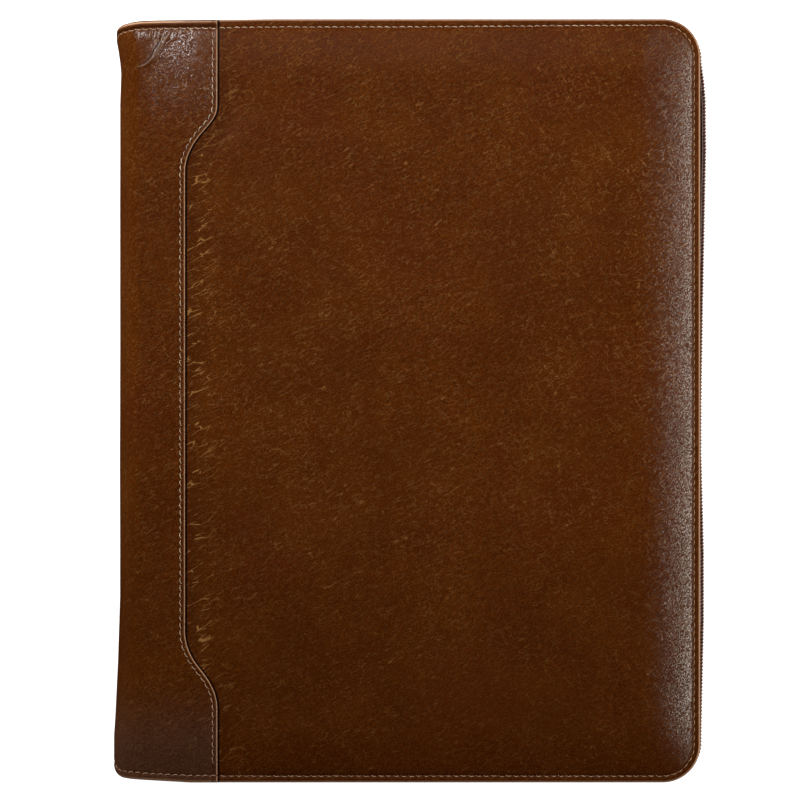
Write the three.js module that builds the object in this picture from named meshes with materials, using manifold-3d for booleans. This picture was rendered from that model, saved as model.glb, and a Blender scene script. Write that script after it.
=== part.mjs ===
import * as THREE from 'three';
import { mergeVertices } from 'three/addons/utils/BufferGeometryUtils.js';
import Module from 'manifold-3d';

// A leather document case: two padded covers, a spine panel that wraps from one to the other,
// and a coil zip round the three open sides. It lies on its back cover.
// Millimetres. +X runs from the spine to the zip side, +Y to the top edge, +Z to the front cover.
// The origin is the middle of the back cover's flat outer face.

// Driving sizes of the case
const CASE_WIDTH = 262.5; // spine face to the rim of the zip side
const CASE_HEIGHT = 345;
const CASE_DEPTH = 32; // outer face to outer face of the padded covers
const CORNER_RADIUS = 17;
const CLEARANCE = 0.3;

// Driving sizes of the covers
const COVER_WALL = 3; // leather, foam and board together
const RIM_WIDTH = 3; // flat turned edge outside the stitches
const RIM_ROUND = 1.3;
const RIM_DROP = 3.4; // rim below the middle of the cover
const CROWN_WIDTH = 23; // from the stitches to where the padding is full
const CROWN_POWER = 2.2; // the padding rises steeply at the stitches and levels out
const PAD_GAP = 2; // bare strip between the spine panel's edge and the padding
const PAD_RISE = 22;

// Driving sizes of the spine panel
const SPINE_WALL = 1.2;
const SPINE_ROLL = 10; // how far the rounded spine stands out from the covers
const WRAP_WIDE = 44.2; // spine face to the panel's edge, at both ends
const WRAP_NARROW = 29.6; // the same in the middle
const WRAP_ROUND = 0.8;

// Driving sizes of the zip
const COIL_HEIGHT = 6;
const COIL_THICK = 2.2;
const COIL_EDGE = 0.6; // thickness at the coil's edges, as a share of that at its ridge
const ZIP_RECESS = 4.5; // middle of the coil inside the outline, along both ends
const ZIP_BULGE = 3; // the coil's largest reach past the rim, along the zip side
const ZIP_END_GAP = 2.5; // spine face to the ends of the tapes
const COIL_END_GAP = 2; // ends of the tapes to the end of the coil
const TAPE_WALL = 0.8;
const TAPE_ROUND = 0.7; // rounding inside the tape's fold, as a share of its wall
const TAPE_FLANGE = 9;
const SLIDER_LENGTH = 11;
const SLIDER_WIDTH = 9;
const SLIDER_TAIL_WIDTH = 7;
const SLIDER_PLATE = 1.2;
const SLIDER_NOSE = 4;
const SLIDER_FROM_SPINE = 20;
const BRIDGE_HEIGHT = 1.4;
const BRIDGE_LENGTH = 5;
const BRIDGE_WIDTH = 2.4;
const SLIDER_SHOULDER = 1.5;
const PULL_LENGTH = 22;
const PULL_WIDTH = 5;
const PULL_WALL = 0.9;
const PULL_HOLE = 1.2;

// The stepped edge of the spine panel, per end of the case. Lengths from that end of the case,
// as shares of its height: the bend out of the wide part, the bend into the narrow part,
// and half the length that each bend is eased over.
const WRAP_STEP = {
  top: { wideBend: 0.125, wideEase: 0.012, narrowBend: 0.174, narrowEase: 0.026 },
  bottom: { wideBend: 0.12, wideEase: 0.023, narrowBend: 0.174, narrowEase: 0.023 },
};

// The spine's outline: places as shares of the height from the top, reach as shares of the roll
const SPINE_FLARE = [
  { at: 0, out: 0.16 },
  { at: 0.014, out: 0.16 },
  { at: 0.034, out: 0.07 },
  { at: 0.05, out: 0 },
  { at: 0.064, out: -0.04 },
  { at: 0.106, out: 0 },
  { at: 0.76, out: 0 },
  { at: 0.85, out: 0.1 },
  { at: 0.92, out: 0.21 },
  { at: 0.957, out: 0.28 },
  { at: 1, out: 0.28 },
];

// How far the two ends draw in towards the spine: places from the spine face, negative where
// the spine flares out past it, and all columns are shares of the spine's roll
const END_DROP = [
  { at: -0.28, top: 0.7, bottom: 0.66 },
  { at: -0.2, top: 0.54, bottom: 0.43 },
  { at: -0.07, top: 0.35, bottom: 0.29 },
  { at: 0.1, top: 0.25, bottom: 0.21 },
  { at: 0.5, top: 0.15, bottom: 0.16 },
  { at: 0.93, top: 0.09, bottom: 0.13 },
  { at: 1.8, top: 0.06, bottom: 0.08 },
  { at: 3.2, top: 0.045, bottom: 0 },
  { at: 5, top: 0.03, bottom: 0 },
  { at: 7, top: 0, bottom: 0 },
];

// The coil's swing along the zip side: places from the top as shares of the height,
// reach past the rim as shares of the largest reach
const ZIP_SWING = [
  { at: 0.056, out: 0.28 },
  { at: 0.08, out: 0.68 },
  { at: 0.106, out: 0.93 },
  { at: 0.17, out: 1 },
  { at: 0.24, out: 0.83 },
  { at: 0.37, out: 0.53 },
  { at: 0.5, out: 0.3 },
  { at: 0.57, out: 0.28 },
  { at: 0.7, out: 0.67 },
  { at: 0.79, out: 0.67 },
  { at: 0.89, out: 0.4 },
  { at: 0.944, out: 0.28 },
];

// The folds of the spine panel in the top corner. Places from the spine face and from the top,
// and half widths, are shares of the panel's wide part, and heights are shares of its wall.
const CORNER_FOLDS = [
  { fromSpine: 0.55, fromTop: 0.07, toSpine: 0.31, toTop: 0.43, halfWidth: 0.08, height: 0.75 },
  { fromSpine: 0.4, fromTop: 0.1, toSpine: 0.19, toTop: 0.5, halfWidth: 0.07, height: 0.5 },
  { fromSpine: 0.26, fromTop: 0.08, toSpine: 0.15, toTop: 0.27, halfWidth: 0.07, height: 0.6 },
];

// Where the meshes have their rows: shares of the length that each line names
const RIM_ROWS = [0, 0.3, 1]; // of the rounded outer corner
const CROWN_ROWS = [0, 0.13, 0.34, 0.62, 1]; // of the crown's width
const PAD_COLUMNS = [0, 0.35, 0.7, 1]; // of the padding's rise
const FIELD_COLUMNS = [0.2, 0.45, 0.7, 1]; // of what is left of the cover's width
const CORNER_STEPS = 7;
const MIDDLE_STEPS = 4;
const FOLD_ROWS = 6;
const FOLD_ZONE = 0.5; // of the spine panel's wide part
const FOLD_FADE = 0.2; // of a fold's length, off the two ends of its swell
const WRAP_COLUMNS = 9;
const BACK_COLUMNS = 5;
const ROLL_STEPS = 12;
const PULL_STEPS = 4;
const SAME_PLACE = 1e-6;

const LEATHER = new THREE.MeshStandardMaterial({ color: 0x5e2e0c, roughness: 0.42 });
const SPINE_LEATHER = new THREE.MeshStandardMaterial({ color: 0x68340f, roughness: 0.42 });
const TAPE = new THREE.MeshStandardMaterial({ color: 0x2a1208, roughness: 0.9 });
const COIL = new THREE.MeshStandardMaterial({ color: 0x5a3626, roughness: 0.5 });
const METAL = new THREE.MeshStandardMaterial({ color: 0xa98c54, roughness: 0.35, metalness: 1 });

const { clamp, lerp, mapLinear, smoothstep } = THREE.MathUtils;
const halfWidth = CASE_WIDTH / 2;
const halfHeight = CASE_HEIGHT / 2;
const middle = CASE_DEPTH / 2;
const spineFace = -halfWidth;
const coverStart = spineFace + SPINE_ROLL;
const sliderX = spineFace + SLIDER_FROM_SPINE;
const crownInset = RIM_WIDTH + CROWN_WIDTH;
const rimLift = middle - RIM_DROP; // heights are measured from the middle of the thickness
const padStep = SPINE_WALL + CLEARANCE; // brings the spine panel level with the padding
const baseRise = RIM_DROP - padStep;

function tableValue(rows, place, column) {
  const next = rows.findIndex((row) => row.at >= place);
  if (next === 0) return rows[0][column];
  if (next < 0) return rows[rows.length - 1][column];
  const [low, high] = [rows[next - 1], rows[next]];
  return mapLinear(place, low.at, high.at, low[column], high[column]);
}

// The distance from the spine face to the spine panel's edge
function wrapReach(y) {
  const step = y > 0 ? WRAP_STEP.top : WRAP_STEP.bottom;
  const fromEnd = (halfHeight - Math.abs(y)) / CASE_HEIGHT;
  const slope = (WRAP_WIDE - WRAP_NARROW) / (step.narrowBend - step.wideBend);
  const pastWide = fromEnd - step.wideBend + step.wideEase;
  const beforeNarrow = step.narrowBend + step.narrowEase - fromEnd;
  if (pastWide <= 0) return WRAP_WIDE;
  if (pastWide < 2 * step.wideEase) return WRAP_WIDE - (slope * pastWide ** 2) / (4 * step.wideEase);
  if (beforeNarrow <= 0) return WRAP_NARROW;
  if (beforeNarrow < 2 * step.narrowEase) {
    return WRAP_NARROW + (slope * beforeNarrow ** 2) / (4 * step.narrowEase);
  }
  return WRAP_WIDE - slope * (fromEnd - step.wideBend);
}

// Both ends of the case draw in near the spine, and every layer goes with them
function drawnIn(x, y) {
  const fromSpine = (x - spineFace) / SPINE_ROLL;
  const drop = SPINE_ROLL * tableValue(END_DROP, fromSpine, y > 0 ? 'top' : 'bottom');
  return y * (1 - drop / halfHeight);
}

function padding(inset) {
  return 1 - (1 - clamp((inset - RIM_WIDTH) / CROWN_WIDTH, 0, 1)) ** CROWN_POWER;
}

function roundedEdge(inset, radius) {
  return inset < radius ? radius - Math.sqrt(radius ** 2 - (radius - inset) ** 2) : 0;
}

function coverLift(x, y, inset) {
  const padStart = spineFace + wrapReach(y) + PAD_GAP;
  const pad = smoothstep(x, padStart, padStart + PAD_RISE);
  return rimLift + padding(inset) * (baseRise + padStep * pad);
}

function wrapLift(y) {
  return rimLift + padding(halfHeight - Math.abs(y)) * baseRise + CLEARANCE + SPINE_WALL;
}

function foldLift(x, y) {
  const place = new THREE.Vector2(x - spineFace, halfHeight - y);
  const nearest = new THREE.Vector2();
  let lift = 0;
  for (const fold of CORNER_FOLDS) {
    const start = new THREE.Vector2(fold.fromSpine, fold.fromTop).multiplyScalar(WRAP_WIDE);
    const along = new THREE.Vector2(fold.toSpine, fold.toTop).multiplyScalar(WRAP_WIDE).sub(start);
    const share = clamp(place.clone().sub(start).dot(along) / along.lengthSq(), 0, 1);
    nearest.copy(start).addScaledVector(along, share);
    const off = place.distanceTo(nearest) / (fold.halfWidth * WRAP_WIDE);
    const swell = Math.sin(Math.PI * lerp(FOLD_FADE, 1 - FOLD_FADE, share));
    lift += fold.height * SPINE_WALL * Math.max(1 - off ** 2, 0) ** 2 * swell;
  }
  return lift;
}

function cornerRadiusAt(inset) {
  if (inset < RIM_WIDTH) return CORNER_RADIUS - inset;
  return (CORNER_RADIUS - RIM_WIDTH) * (1 - (inset - RIM_WIDTH) / CROWN_WIDTH);
}

// The three closed sides, followed from the spine's top end to its bottom end
function routePoint(stop, inset, startX) {
  const radius = cornerRadiusAt(inset);
  const right = halfWidth - inset;
  const end = halfHeight - inset;
  const turn = (Math.PI / 2) * stop.share;
  if (stop.run === 'end') {
    return { x: lerp(startX, right - radius, stop.share), y: stop.sign * end };
  }
  if (stop.run === 'corner') {
    const y = end - radius + radius * Math.sin(turn);
    return { x: right - radius + radius * Math.cos(turn), y: stop.sign * y };
  }
  return { x: right, y: lerp(end - radius, radius - end, stop.share) };
}

function increasing(values) {
  const sorted = [...values].sort((a, b) => a - b);
  return sorted.filter((value, i) => i === 0 || value - sorted[i - 1] > SAME_PLACE);
}

// Columns along the ends of the case, close together at the spine and where the padding begins
function columnShares(startX) {
  const fieldEnd = halfWidth - crownInset;
  const narrowStart = spineFace + WRAP_NARROW + PAD_GAP;
  const wideStart = spineFace + WRAP_WIDE + PAD_GAP;
  const padEnd = wideStart + PAD_RISE;
  const columns = [
    startX,
    (startX + coverStart) / 2,
    coverStart,
    ...PAD_COLUMNS.map((share) => narrowStart + share * PAD_RISE),
    ...PAD_COLUMNS.map((share) => wideStart + share * PAD_RISE),
    ...FIELD_COLUMNS.map((share) => lerp(padEnd, fieldEnd, share)),
  ];
  return increasing(columns).map((x) => (x - startX) / (fieldEnd - startX));
}

// Rows of the spine panel's stepped edge, from the top of the case to its bottom
function stepRows() {
  const rows = Object.entries(WRAP_STEP).flatMap(([end, step]) =>
    [
      step.wideBend - step.wideEase,
      step.wideBend,
      (step.wideBend + step.narrowBend) / 2,
      step.narrowBend,
      step.narrowBend + step.narrowEase,
    ].map((share) => (end === 'top' ? 1 : -1) * (halfHeight - share * CASE_HEIGHT))
  );
  const reach = Math.min(...rows.map(Math.abs));
  for (let i = 1; i < MIDDLE_STEPS; i += 1) rows.push(lerp(reach, -reach, i / MIDDLE_STEPS));
  return increasing(rows).reverse();
}

function routeStops(startX) {
  const ends = columnShares(startX);
  const turns = Array.from({ length: CORNER_STEPS - 1 }, (_, i) => (i + 1) / CORNER_STEPS);
  const fieldTop = halfHeight - crownInset;
  const rows = stepRows().filter((y) => Math.abs(y) < fieldTop);
  const sides = [0, ...rows.map((y) => (fieldTop - y) / (2 * fieldTop)), 1];
  return [
    ...ends.map((share) => ({ run: 'end', sign: 1, share })),
    ...turns.map((share) => ({ run: 'corner', sign: 1, share })).reverse(),
    ...sides.map((share) => ({ run: 'side', sign: 0, share })),
    ...turns.map((share) => ({ run: 'corner', sign: -1, share })),
    ...ends.map((share) => ({ run: 'end', sign: -1, share })).reverse(),
  ];
}

// A closed wall between an outer and an inner face. The patches are grids of places whose
// shared places, found by their key, join them, and edges met only once are closed by a side.
function wallSolid(patches, keyOf, outerOf, innerOf) {
  const numbers = new Map();
  const places = [];
  const numberOf = (place) => {
    const key = keyOf(place);
    if (!numbers.has(key)) {
      numbers.set(key, places.length);
      places.push(place);
    }
    return numbers.get(key);
  };
  const faces = [];
  for (const grid of patches) {
    const ids = grid.map((row) => row.map(numberOf));
    for (let i = 1; i < ids.length; i += 1) {
      for (let j = 1; j < ids[i].length; j += 1) {
        const [a, b, c, d] = [ids[i - 1][j - 1], ids[i][j - 1], ids[i][j], ids[i - 1][j]];
        faces.push([a, b, c], [a, c, d]);
      }
    }
  }
  const whole = faces.filter(([a, b, c]) => a !== b && b !== c && c !== a);
  const edges = new Set(whole.flatMap(([a, b, c]) => [`${a} ${b}`, `${b} ${c}`, `${c} ${a}`]));
  const count = places.length;
  const triangles = whole.flatMap(([a, b, c]) => [[a, b, c], [a + count, c + count, b + count]]);
  for (const edge of edges) {
    const [a, b] = edge.split(' ').map(Number);
    if (!edges.has(`${b} ${a}`)) triangles.push([b, a, a + count], [b, a + count, b + count]);
  }
  return closedGeometry([...places.map(outerOf), ...places.map(innerOf)], triangles);
}

function closedGeometry(points, triangles) {
  const volume = triangles.reduce((sum, [a, b, c]) => {
    return sum + points[a].dot(new THREE.Vector3().crossVectors(points[b], points[c]));
  }, 0);
  const outward = volume > 0 ? triangles : triangles.map(([a, b, c]) => [a, c, b]);
  const geometry = new THREE.BufferGeometry().setFromPoints(points);
  geometry.setIndex(outward.flat());
  geometry.computeVertexNormals();
  return geometry;
}

// Each cover: rings from the rim up to the crown, and the flat field inside them
function coverGeometry(side) {
  const insets = increasing([
    ...RIM_ROWS.map((share) => share * RIM_ROUND),
    ...CROWN_ROWS.map((share) => RIM_WIDTH + share * CROWN_WIDTH),
  ]);
  const stops = routeStops(coverStart);
  const ring = (inset) => stops.map((stop) => ({ ...routePoint(stop, inset, coverStart), inset }));
  const rings = insets.map(ring);
  const lastRing = rings[rings.length - 1];
  const rows = lastRing.filter((_, i) => stops[i].run === 'side').map(({ y }) => y);
  const columns = lastRing.filter((_, i) => stops[i].sign > 0 && stops[i].run === 'end').map(({ x }) => x);
  const field = rows.map((y) => columns.map((x) => ({ x, y, inset: crownInset })));
  const keyOf = ({ x, y }) => `${x.toFixed(4)} ${y.toFixed(4)}`;
  const outerOf = ({ x, y, inset }) => {
    const lift = coverLift(x, y, inset) - roundedEdge(inset, RIM_ROUND);
    return new THREE.Vector3(x, drawnIn(x, y), middle + side * lift);
  };
  const innerOf = ({ x, y, inset }) => {
    return new THREE.Vector3(x, drawnIn(x, y), middle + side * (coverLift(x, y, inset) - COVER_WALL));
  };
  return wallSolid([rings, field], keyOf, outerOf, innerOf);
}

// The spine panel: a front wing, the rounded spine and a back wing
function spineGeometry() {
  const endRows = [
    ...RIM_ROWS.map((share) => share * WRAP_ROUND),
    ...CROWN_ROWS.map((share) => RIM_WIDTH + share * CROWN_WIDTH),
  ];
  const foldStep = (WRAP_WIDE * FOLD_ZONE) / FOLD_ROWS;
  const foldRows = Array.from({ length: FOLD_ROWS }, (_, i) => (i + 1) * foldStep);
  const rows = increasing([
    ...endRows.map((inset) => halfHeight - inset),
    ...endRows.map((inset) => inset - halfHeight),
    ...foldRows.map((inset) => halfHeight - inset),
    ...stepRows(),
  ]);
  const wing = (count, side) => {
    return Array.from({ length: count }, (_, i) => ({ side, share: i / count, turn: 0 }));
  };
  const roll = Array.from({ length: ROLL_STEPS + 1 }, (_, i) => {
    return { side: 0, share: 1, turn: i / ROLL_STEPS };
  });
  const columns = [...wing(WRAP_COLUMNS, 1), ...roll, ...wing(BACK_COLUMNS, -1).reverse()];
  const grid = rows.map((y) => columns.map((column, number) => ({ ...column, number, y })));
  const faceOf = (place, depth) => {
    const { side, share, turn, y } = place;
    const edge = depth > 0 ? 0 : roundedEdge(halfHeight - Math.abs(y), WRAP_ROUND);
    const flare = SPINE_ROLL * tableValue(SPINE_FLARE, (halfHeight - y) / CASE_HEIGHT, 'out');
    const angle = Math.PI * turn;
    const outX = coverStart - (SPINE_ROLL + flare) * Math.sin(angle);
    const wingX = lerp(spineFace + wrapReach(y), coverStart, share);
    const fold = side < 0 || turn > 0.5 ? 0 : foldLift(side ? wingX : outX, y) * Math.cos(angle);
    const lift = wrapLift(y) + fold - edge - depth;
    if (side) return new THREE.Vector3(wingX, drawnIn(wingX, y), middle + side * lift);
    const x = coverStart - (SPINE_ROLL + flare - depth) * Math.sin(angle);
    return new THREE.Vector3(x, drawnIn(outX, y), middle + lift * Math.cos(angle));
  };
  const keyOf = ({ number, y }) => `${number} ${y.toFixed(4)}`;
  return wallSolid([grid], keyOf, (place) => faceOf(place, 0), (place) => faceOf(place, SPINE_WALL));
}

// The inset of the coil's middle at a stop of the route
function zipInset(stop) {
  if (stop.run === 'end') return ZIP_RECESS;
  const sideStart = halfHeight - CORNER_RADIUS;
  const swing = (y) => {
    return COIL_THICK / 2 - ZIP_BULGE * tableValue(ZIP_SWING, (halfHeight - y) / CASE_HEIGHT, 'out');
  };
  if (stop.run === 'side') return swing(lerp(sideStart, -sideStart, stop.share));
  return lerp(swing(stop.sign * sideStart), ZIP_RECESS, smoothstep(stop.share, 0, 1));
}

// What the tapes run under: the inside of a cover, and of the spine past the cover's end
function ceiling({ x, y }, inset) {
  const coverInside = coverLift(x, y, inset) - COVER_WALL;
  const intoRoll = clamp((coverStart - x) / (SPINE_ROLL - SPINE_WALL), 0, 1);
  const rollInside = (wrapLift(y) - SPINE_WALL) * Math.sqrt(1 - intoRoll ** 2);
  return (x < coverStart ? Math.min(coverInside, rollInside) : coverInside) - CLEARANCE;
}

function placed(stop, inset, startX, lift) {
  const { x, y } = routePoint(stop, inset, startX);
  return new THREE.Vector3(x, drawnIn(x, y), middle + lift);
}

// Each tape: a flange under the cover and a leg that leans out to the coil
function tapeGeometry(side) {
  const startX = spineFace + ZIP_END_GAP;
  const levelAt = (stop, inset) => ceiling(routePoint(stop, inset, startX), inset);
  const faceOf = (stop, depth) => {
    const coil = zipInset(stop) - TAPE_WALL / 2;
    const leg = Math.max(zipInset(stop), RIM_WIDTH);
    const under = levelAt(stop, leg + TAPE_WALL);
    const round = TAPE_WALL * TAPE_ROUND;
    return [
      { inset: leg + TAPE_FLANGE, lift: levelAt(stop, leg + TAPE_FLANGE) - depth },
      { inset: leg + TAPE_FLANGE / 2, lift: levelAt(stop, leg + TAPE_FLANGE / 2) - depth },
      { inset: leg + (depth ? depth + round : TAPE_WALL), lift: under - depth },
      { inset: leg + depth, lift: under - (depth ? depth + round : TAPE_WALL) },
      { inset: coil + depth, lift: COIL_HEIGHT / 2 + CLEARANCE },
    ];
  };
  const grid = routeStops(startX).map((stop, station) => {
    return faceOf(stop, 0).map((_, line) => ({ stop, station, line }));
  });
  const pointOf = ({ stop, line }, depth) => {
    const { inset, lift } = faceOf(stop, depth)[line];
    return placed(stop, inset, startX, side * lift);
  };
  const keyOf = ({ station, line }) => `${station} ${line}`;
  return wallSolid([grid], keyOf, (place) => pointOf(place, 0), (place) => pointOf(place, TAPE_WALL));
}

// The coil: a bar with a ridge along both faces, from the spine's top end to the slider
function coilGeometry() {
  const coilEnd = sliderX - SLIDER_LENGTH / 2 + SLIDER_NOSE + CLEARANCE;
  const coilStart = spineFace + ZIP_END_GAP + COIL_END_GAP;
  const startOf = (stop) => (stop.sign < 0 ? coilEnd : coilStart);
  const lines = [-1, 0, 1];
  const grid = routeStops(coilStart).map((stop, station) => {
    return lines.map((line) => ({ stop, station, line }));
  });
  const pointOf = ({ stop, line }, out) => {
    const thick = (COIL_THICK / 2) * (line ? COIL_EDGE : 1);
    return placed(stop, zipInset(stop) - out * thick, startOf(stop), (line * COIL_HEIGHT) / 2);
  };
  const keyOf = ({ station, line }) => `${station} ${line}`;
  return wallSolid([grid], keyOf, (place) => pointOf(place, 1), (place) => pointOf(place, -1));
}

const wasm = await Module();
wasm.setup();

function toManifold(geometry) {
  const bare = geometry.clone();
  bare.deleteAttribute('normal');
  bare.deleteAttribute('uv');
  const merged = mergeVertices(bare, 1e-4);
  const vertProperties = new Float32Array(merged.attributes.position.array);
  const triVerts = new Uint32Array(merged.index.array);
  return new wasm.Manifold(new wasm.Mesh({ numProp: 3, vertProperties, triVerts }));
}

function fused(geometries) {
  const solid = geometries.map(toManifold).reduce((sum, piece) => sum.add(piece));
  const { vertProperties, triVerts } = solid.getMesh();
  const geometry = new THREE.BufferGeometry();
  geometry.setAttribute('position', new THREE.BufferAttribute(vertProperties, 3));
  geometry.setIndex(new THREE.BufferAttribute(triVerts, 1));
  geometry.computeVertexNormals();
  return geometry;
}

function extruded(shape, bottom, height) {
  const options = { depth: height, bevelEnabled: false, curveSegments: PULL_STEPS };
  const geometry = new THREE.ExtrudeGeometry(shape, options);
  return geometry.translate(0, 0, bottom);
}

// The slider's own axes: X along the zip towards the closed coil, Y across it, Z outwards
function sliderGeometry() {
  const gap = COIL_THICK / 2 + CLEARANCE;
  const nose = -SLIDER_LENGTH / 2;
  const tail = SLIDER_LENGTH / 2;
  const shield = new THREE.Shape([
    new THREE.Vector2(nose, SLIDER_SHOULDER - SLIDER_WIDTH / 2),
    new THREE.Vector2(nose + SLIDER_SHOULDER, -SLIDER_WIDTH / 2),
    new THREE.Vector2(tail, -SLIDER_TAIL_WIDTH / 2),
    new THREE.Vector2(tail, SLIDER_TAIL_WIDTH / 2),
    new THREE.Vector2(nose + SLIDER_SHOULDER, SLIDER_WIDTH / 2),
    new THREE.Vector2(nose, SLIDER_WIDTH / 2 - SLIDER_SHOULDER),
  ]);
  const plateTop = gap + SLIDER_PLATE;
  const noseWidth = COIL_HEIGHT - 2 * CLEARANCE;
  const noseBlock = new THREE.BoxGeometry(SLIDER_NOSE, noseWidth, 2 * gap + SLIDER_PLATE);
  const bridge = new THREE.BoxGeometry(BRIDGE_LENGTH, BRIDGE_WIDTH, BRIDGE_HEIGHT + SLIDER_PLATE);
  const end = PULL_WIDTH / 2;
  const pull = new THREE.Shape();
  pull.absarc(0, 0, end, Math.PI / 2, (3 * Math.PI) / 2);
  pull.absarc(PULL_LENGTH - PULL_WIDTH, 0, end, -Math.PI / 2, Math.PI / 2);
  pull.holes.push(new THREE.Path().absarc(PULL_LENGTH - PULL_WIDTH, 0, PULL_HOLE, 0, 2 * Math.PI));
  const pullBottom = plateTop + BRIDGE_HEIGHT - CLEARANCE - PULL_WALL;
  return fused([
    extruded(shield, gap, SLIDER_PLATE),
    extruded(shield, -plateTop, SLIDER_PLATE),
    noseBlock.translate(nose + SLIDER_NOSE / 2, 0, 0),
    bridge.translate(0, 0, plateTop + (BRIDGE_HEIGHT - SLIDER_PLATE) / 2),
    extruded(pull, pullBottom, PULL_WALL),
  ]);
}

function named(name, geometry, material) {
  const mesh = new THREE.Mesh(geometry, material);
  mesh.name = name;
  return mesh;
}

const slider = named('zip_slider', sliderGeometry(), METAL);
slider.position.set(sliderX, drawnIn(sliderX, ZIP_RECESS - halfHeight), middle);
slider.rotation.x = Math.PI / 2;

const documentCase = new THREE.Group();
documentCase.add(
  named('front_panel', coverGeometry(1), LEATHER),
  named('back_panel', coverGeometry(-1), LEATHER),
  named('spine_panel', spineGeometry(), SPINE_LEATHER),
  named('zip_tape_front', tapeGeometry(1), TAPE),
  named('zip_tape_back', tapeGeometry(-1), TAPE),
  named('zip_coil', coilGeometry(), COIL),
  slider
);

export default documentCase;
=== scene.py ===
"""Looks of a leather document case that lies on its back cover, seen from straight above."""
import math

import bmesh
import bpy
import numpy as np
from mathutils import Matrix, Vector, noise

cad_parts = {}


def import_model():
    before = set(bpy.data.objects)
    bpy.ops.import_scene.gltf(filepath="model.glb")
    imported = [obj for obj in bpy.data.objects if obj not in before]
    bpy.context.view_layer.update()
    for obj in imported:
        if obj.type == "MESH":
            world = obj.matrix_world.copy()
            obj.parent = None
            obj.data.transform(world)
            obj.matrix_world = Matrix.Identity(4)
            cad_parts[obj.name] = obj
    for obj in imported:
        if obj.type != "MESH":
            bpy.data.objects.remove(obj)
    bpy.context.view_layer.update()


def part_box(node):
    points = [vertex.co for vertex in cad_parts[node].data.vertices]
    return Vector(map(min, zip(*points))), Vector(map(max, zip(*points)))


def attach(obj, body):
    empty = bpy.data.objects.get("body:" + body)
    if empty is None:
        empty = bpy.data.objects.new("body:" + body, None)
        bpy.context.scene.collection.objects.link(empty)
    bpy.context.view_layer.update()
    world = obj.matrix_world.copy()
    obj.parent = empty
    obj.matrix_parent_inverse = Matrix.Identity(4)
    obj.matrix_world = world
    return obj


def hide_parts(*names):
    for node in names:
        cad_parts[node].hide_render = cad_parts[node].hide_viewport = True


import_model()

MM = 0.001
SAME_PLACE = 1e-6
# A step between numbered places that keeps them apart
KEY_STEP = 10 * SAME_PLACE

# Sizes and places that the frame gives
front_low, front_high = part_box("front_panel")
back_low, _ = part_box("back_panel")
HALF_WIDTH, HALF_HEIGHT = front_high[0], front_high[1]
COVER_START = front_low[0]
MIDDLE = (front_high[2] + back_low[2]) / 2
CROWN_LIFT = front_high[2] - MIDDLE

# Sizes of the covers, as in the CAD part
COVER_WALL = 3 * MM
RIM_LIFT = front_low[2] + COVER_WALL - MIDDLE
CORNER_RADIUS = 17 * MM
RIM_WIDTH = 3 * MM
RIM_ROUND = 1.3 * MM
RIM_UNDER_ROUND = 0.8 * MM
CROWN_WIDTH = 23 * MM
CROWN_POWER = 2.2
CROWN_INSET = RIM_WIDTH + CROWN_WIDTH
PAD_GAP = 2 * MM
PAD_RISE = 22 * MM
CLEARANCE = 0.3 * MM

# Sizes of the spine panel, as in the CAD part
SPINE_WALL = 1.2 * MM
SPINE_ROLL = 10 * MM
SPINE_FACE = COVER_START - SPINE_ROLL
WRAP_WIDE = 44.2 * MM
WRAP_NARROW = 29.6 * MM
WRAP_ROUND = 0.8 * MM
CUT_ROUND = 0.3 * MM
PAD_STEP = SPINE_WALL + CLEARANCE
BASE_RISE = CROWN_LIFT - RIM_LIFT - PAD_STEP

# Sizes of the zip, as in the CAD part
COIL_HEIGHT = 6 * MM
COIL_THICK = 2.2 * MM
ZIP_RECESS = 4.5 * MM
ZIP_BULGE = 3 * MM
ZIP_END_GAP = 2.5 * MM
COIL_END_GAP = 2 * MM
TAPE_WALL = 0.8 * MM
TAPE_FLANGE = 9 * MM
COIL_PITCH = 1.55 * MM
# How far into the slider the closed coil starts
COIL_IN_SLIDER = 4.5 * MM
WIRE_RADIUS = 0.3 * MM
CORE_RADIUS = 0.62 * MM
CORE_LIFT = 1.3 * MM

# Stitches
STITCH_PITCH = 3.39 * MM
STITCH_LENGTH = 3.3 * MM
THREAD_PLY = 0.14 * MM
PLY_APART = 0.72 * THREAD_PLY
THREAD_TWIST = 2.4 * math.pi
RIM_STITCH_INSET = 3 * MM
EDGE_STITCH_INSET = 2 * MM
SEAM_DRIFT = 0.75 * MM

# The spine panel's stepped edge, a row for each end of the case: where it leaves its wide part and
# how softly, and where it reaches its narrow part and how softly, as shares of the height
WRAP_STEP = [(0.125, 0.012, 0.174, 0.026), (0.12, 0.023, 0.174, 0.023)]
# The spine's outline: share of the height from the top, reach as a share of the roll
SPINE_FLARE = [
    (0, 0.16), (0.014, 0.16), (0.034, 0.07), (0.05, 0), (0.064, -0.04), (0.106, 0),
    (0.76, 0), (0.85, 0.1), (0.92, 0.21), (0.957, 0.28), (1, 0.28),
]
# How far the ends draw in: distance from the spine face, negative where the spine flares out
# past it, drop at the top, drop at the bottom, all as shares of the roll
END_DROP = [
    (-0.28, 0.7, 0.66), (-0.2, 0.54, 0.43), (-0.07, 0.35, 0.29), (0.1, 0.25, 0.21),
    (0.5, 0.15, 0.16), (0.93, 0.09, 0.13), (1.8, 0.06, 0.08), (3.2, 0.045, 0), (5, 0.03, 0), (7, 0, 0),
]
# The coil's swing along the zip side: share of the height, share of the largest reach
ZIP_SWING = [
    (0.056, 0.28), (0.08, 0.68), (0.106, 0.93), (0.17, 1), (0.24, 0.83), (0.37, 0.53),
    (0.5, 0.3), (0.57, 0.28), (0.7, 0.67), (0.79, 0.67), (0.89, 0.4), (0.944, 0.28),
]
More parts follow.
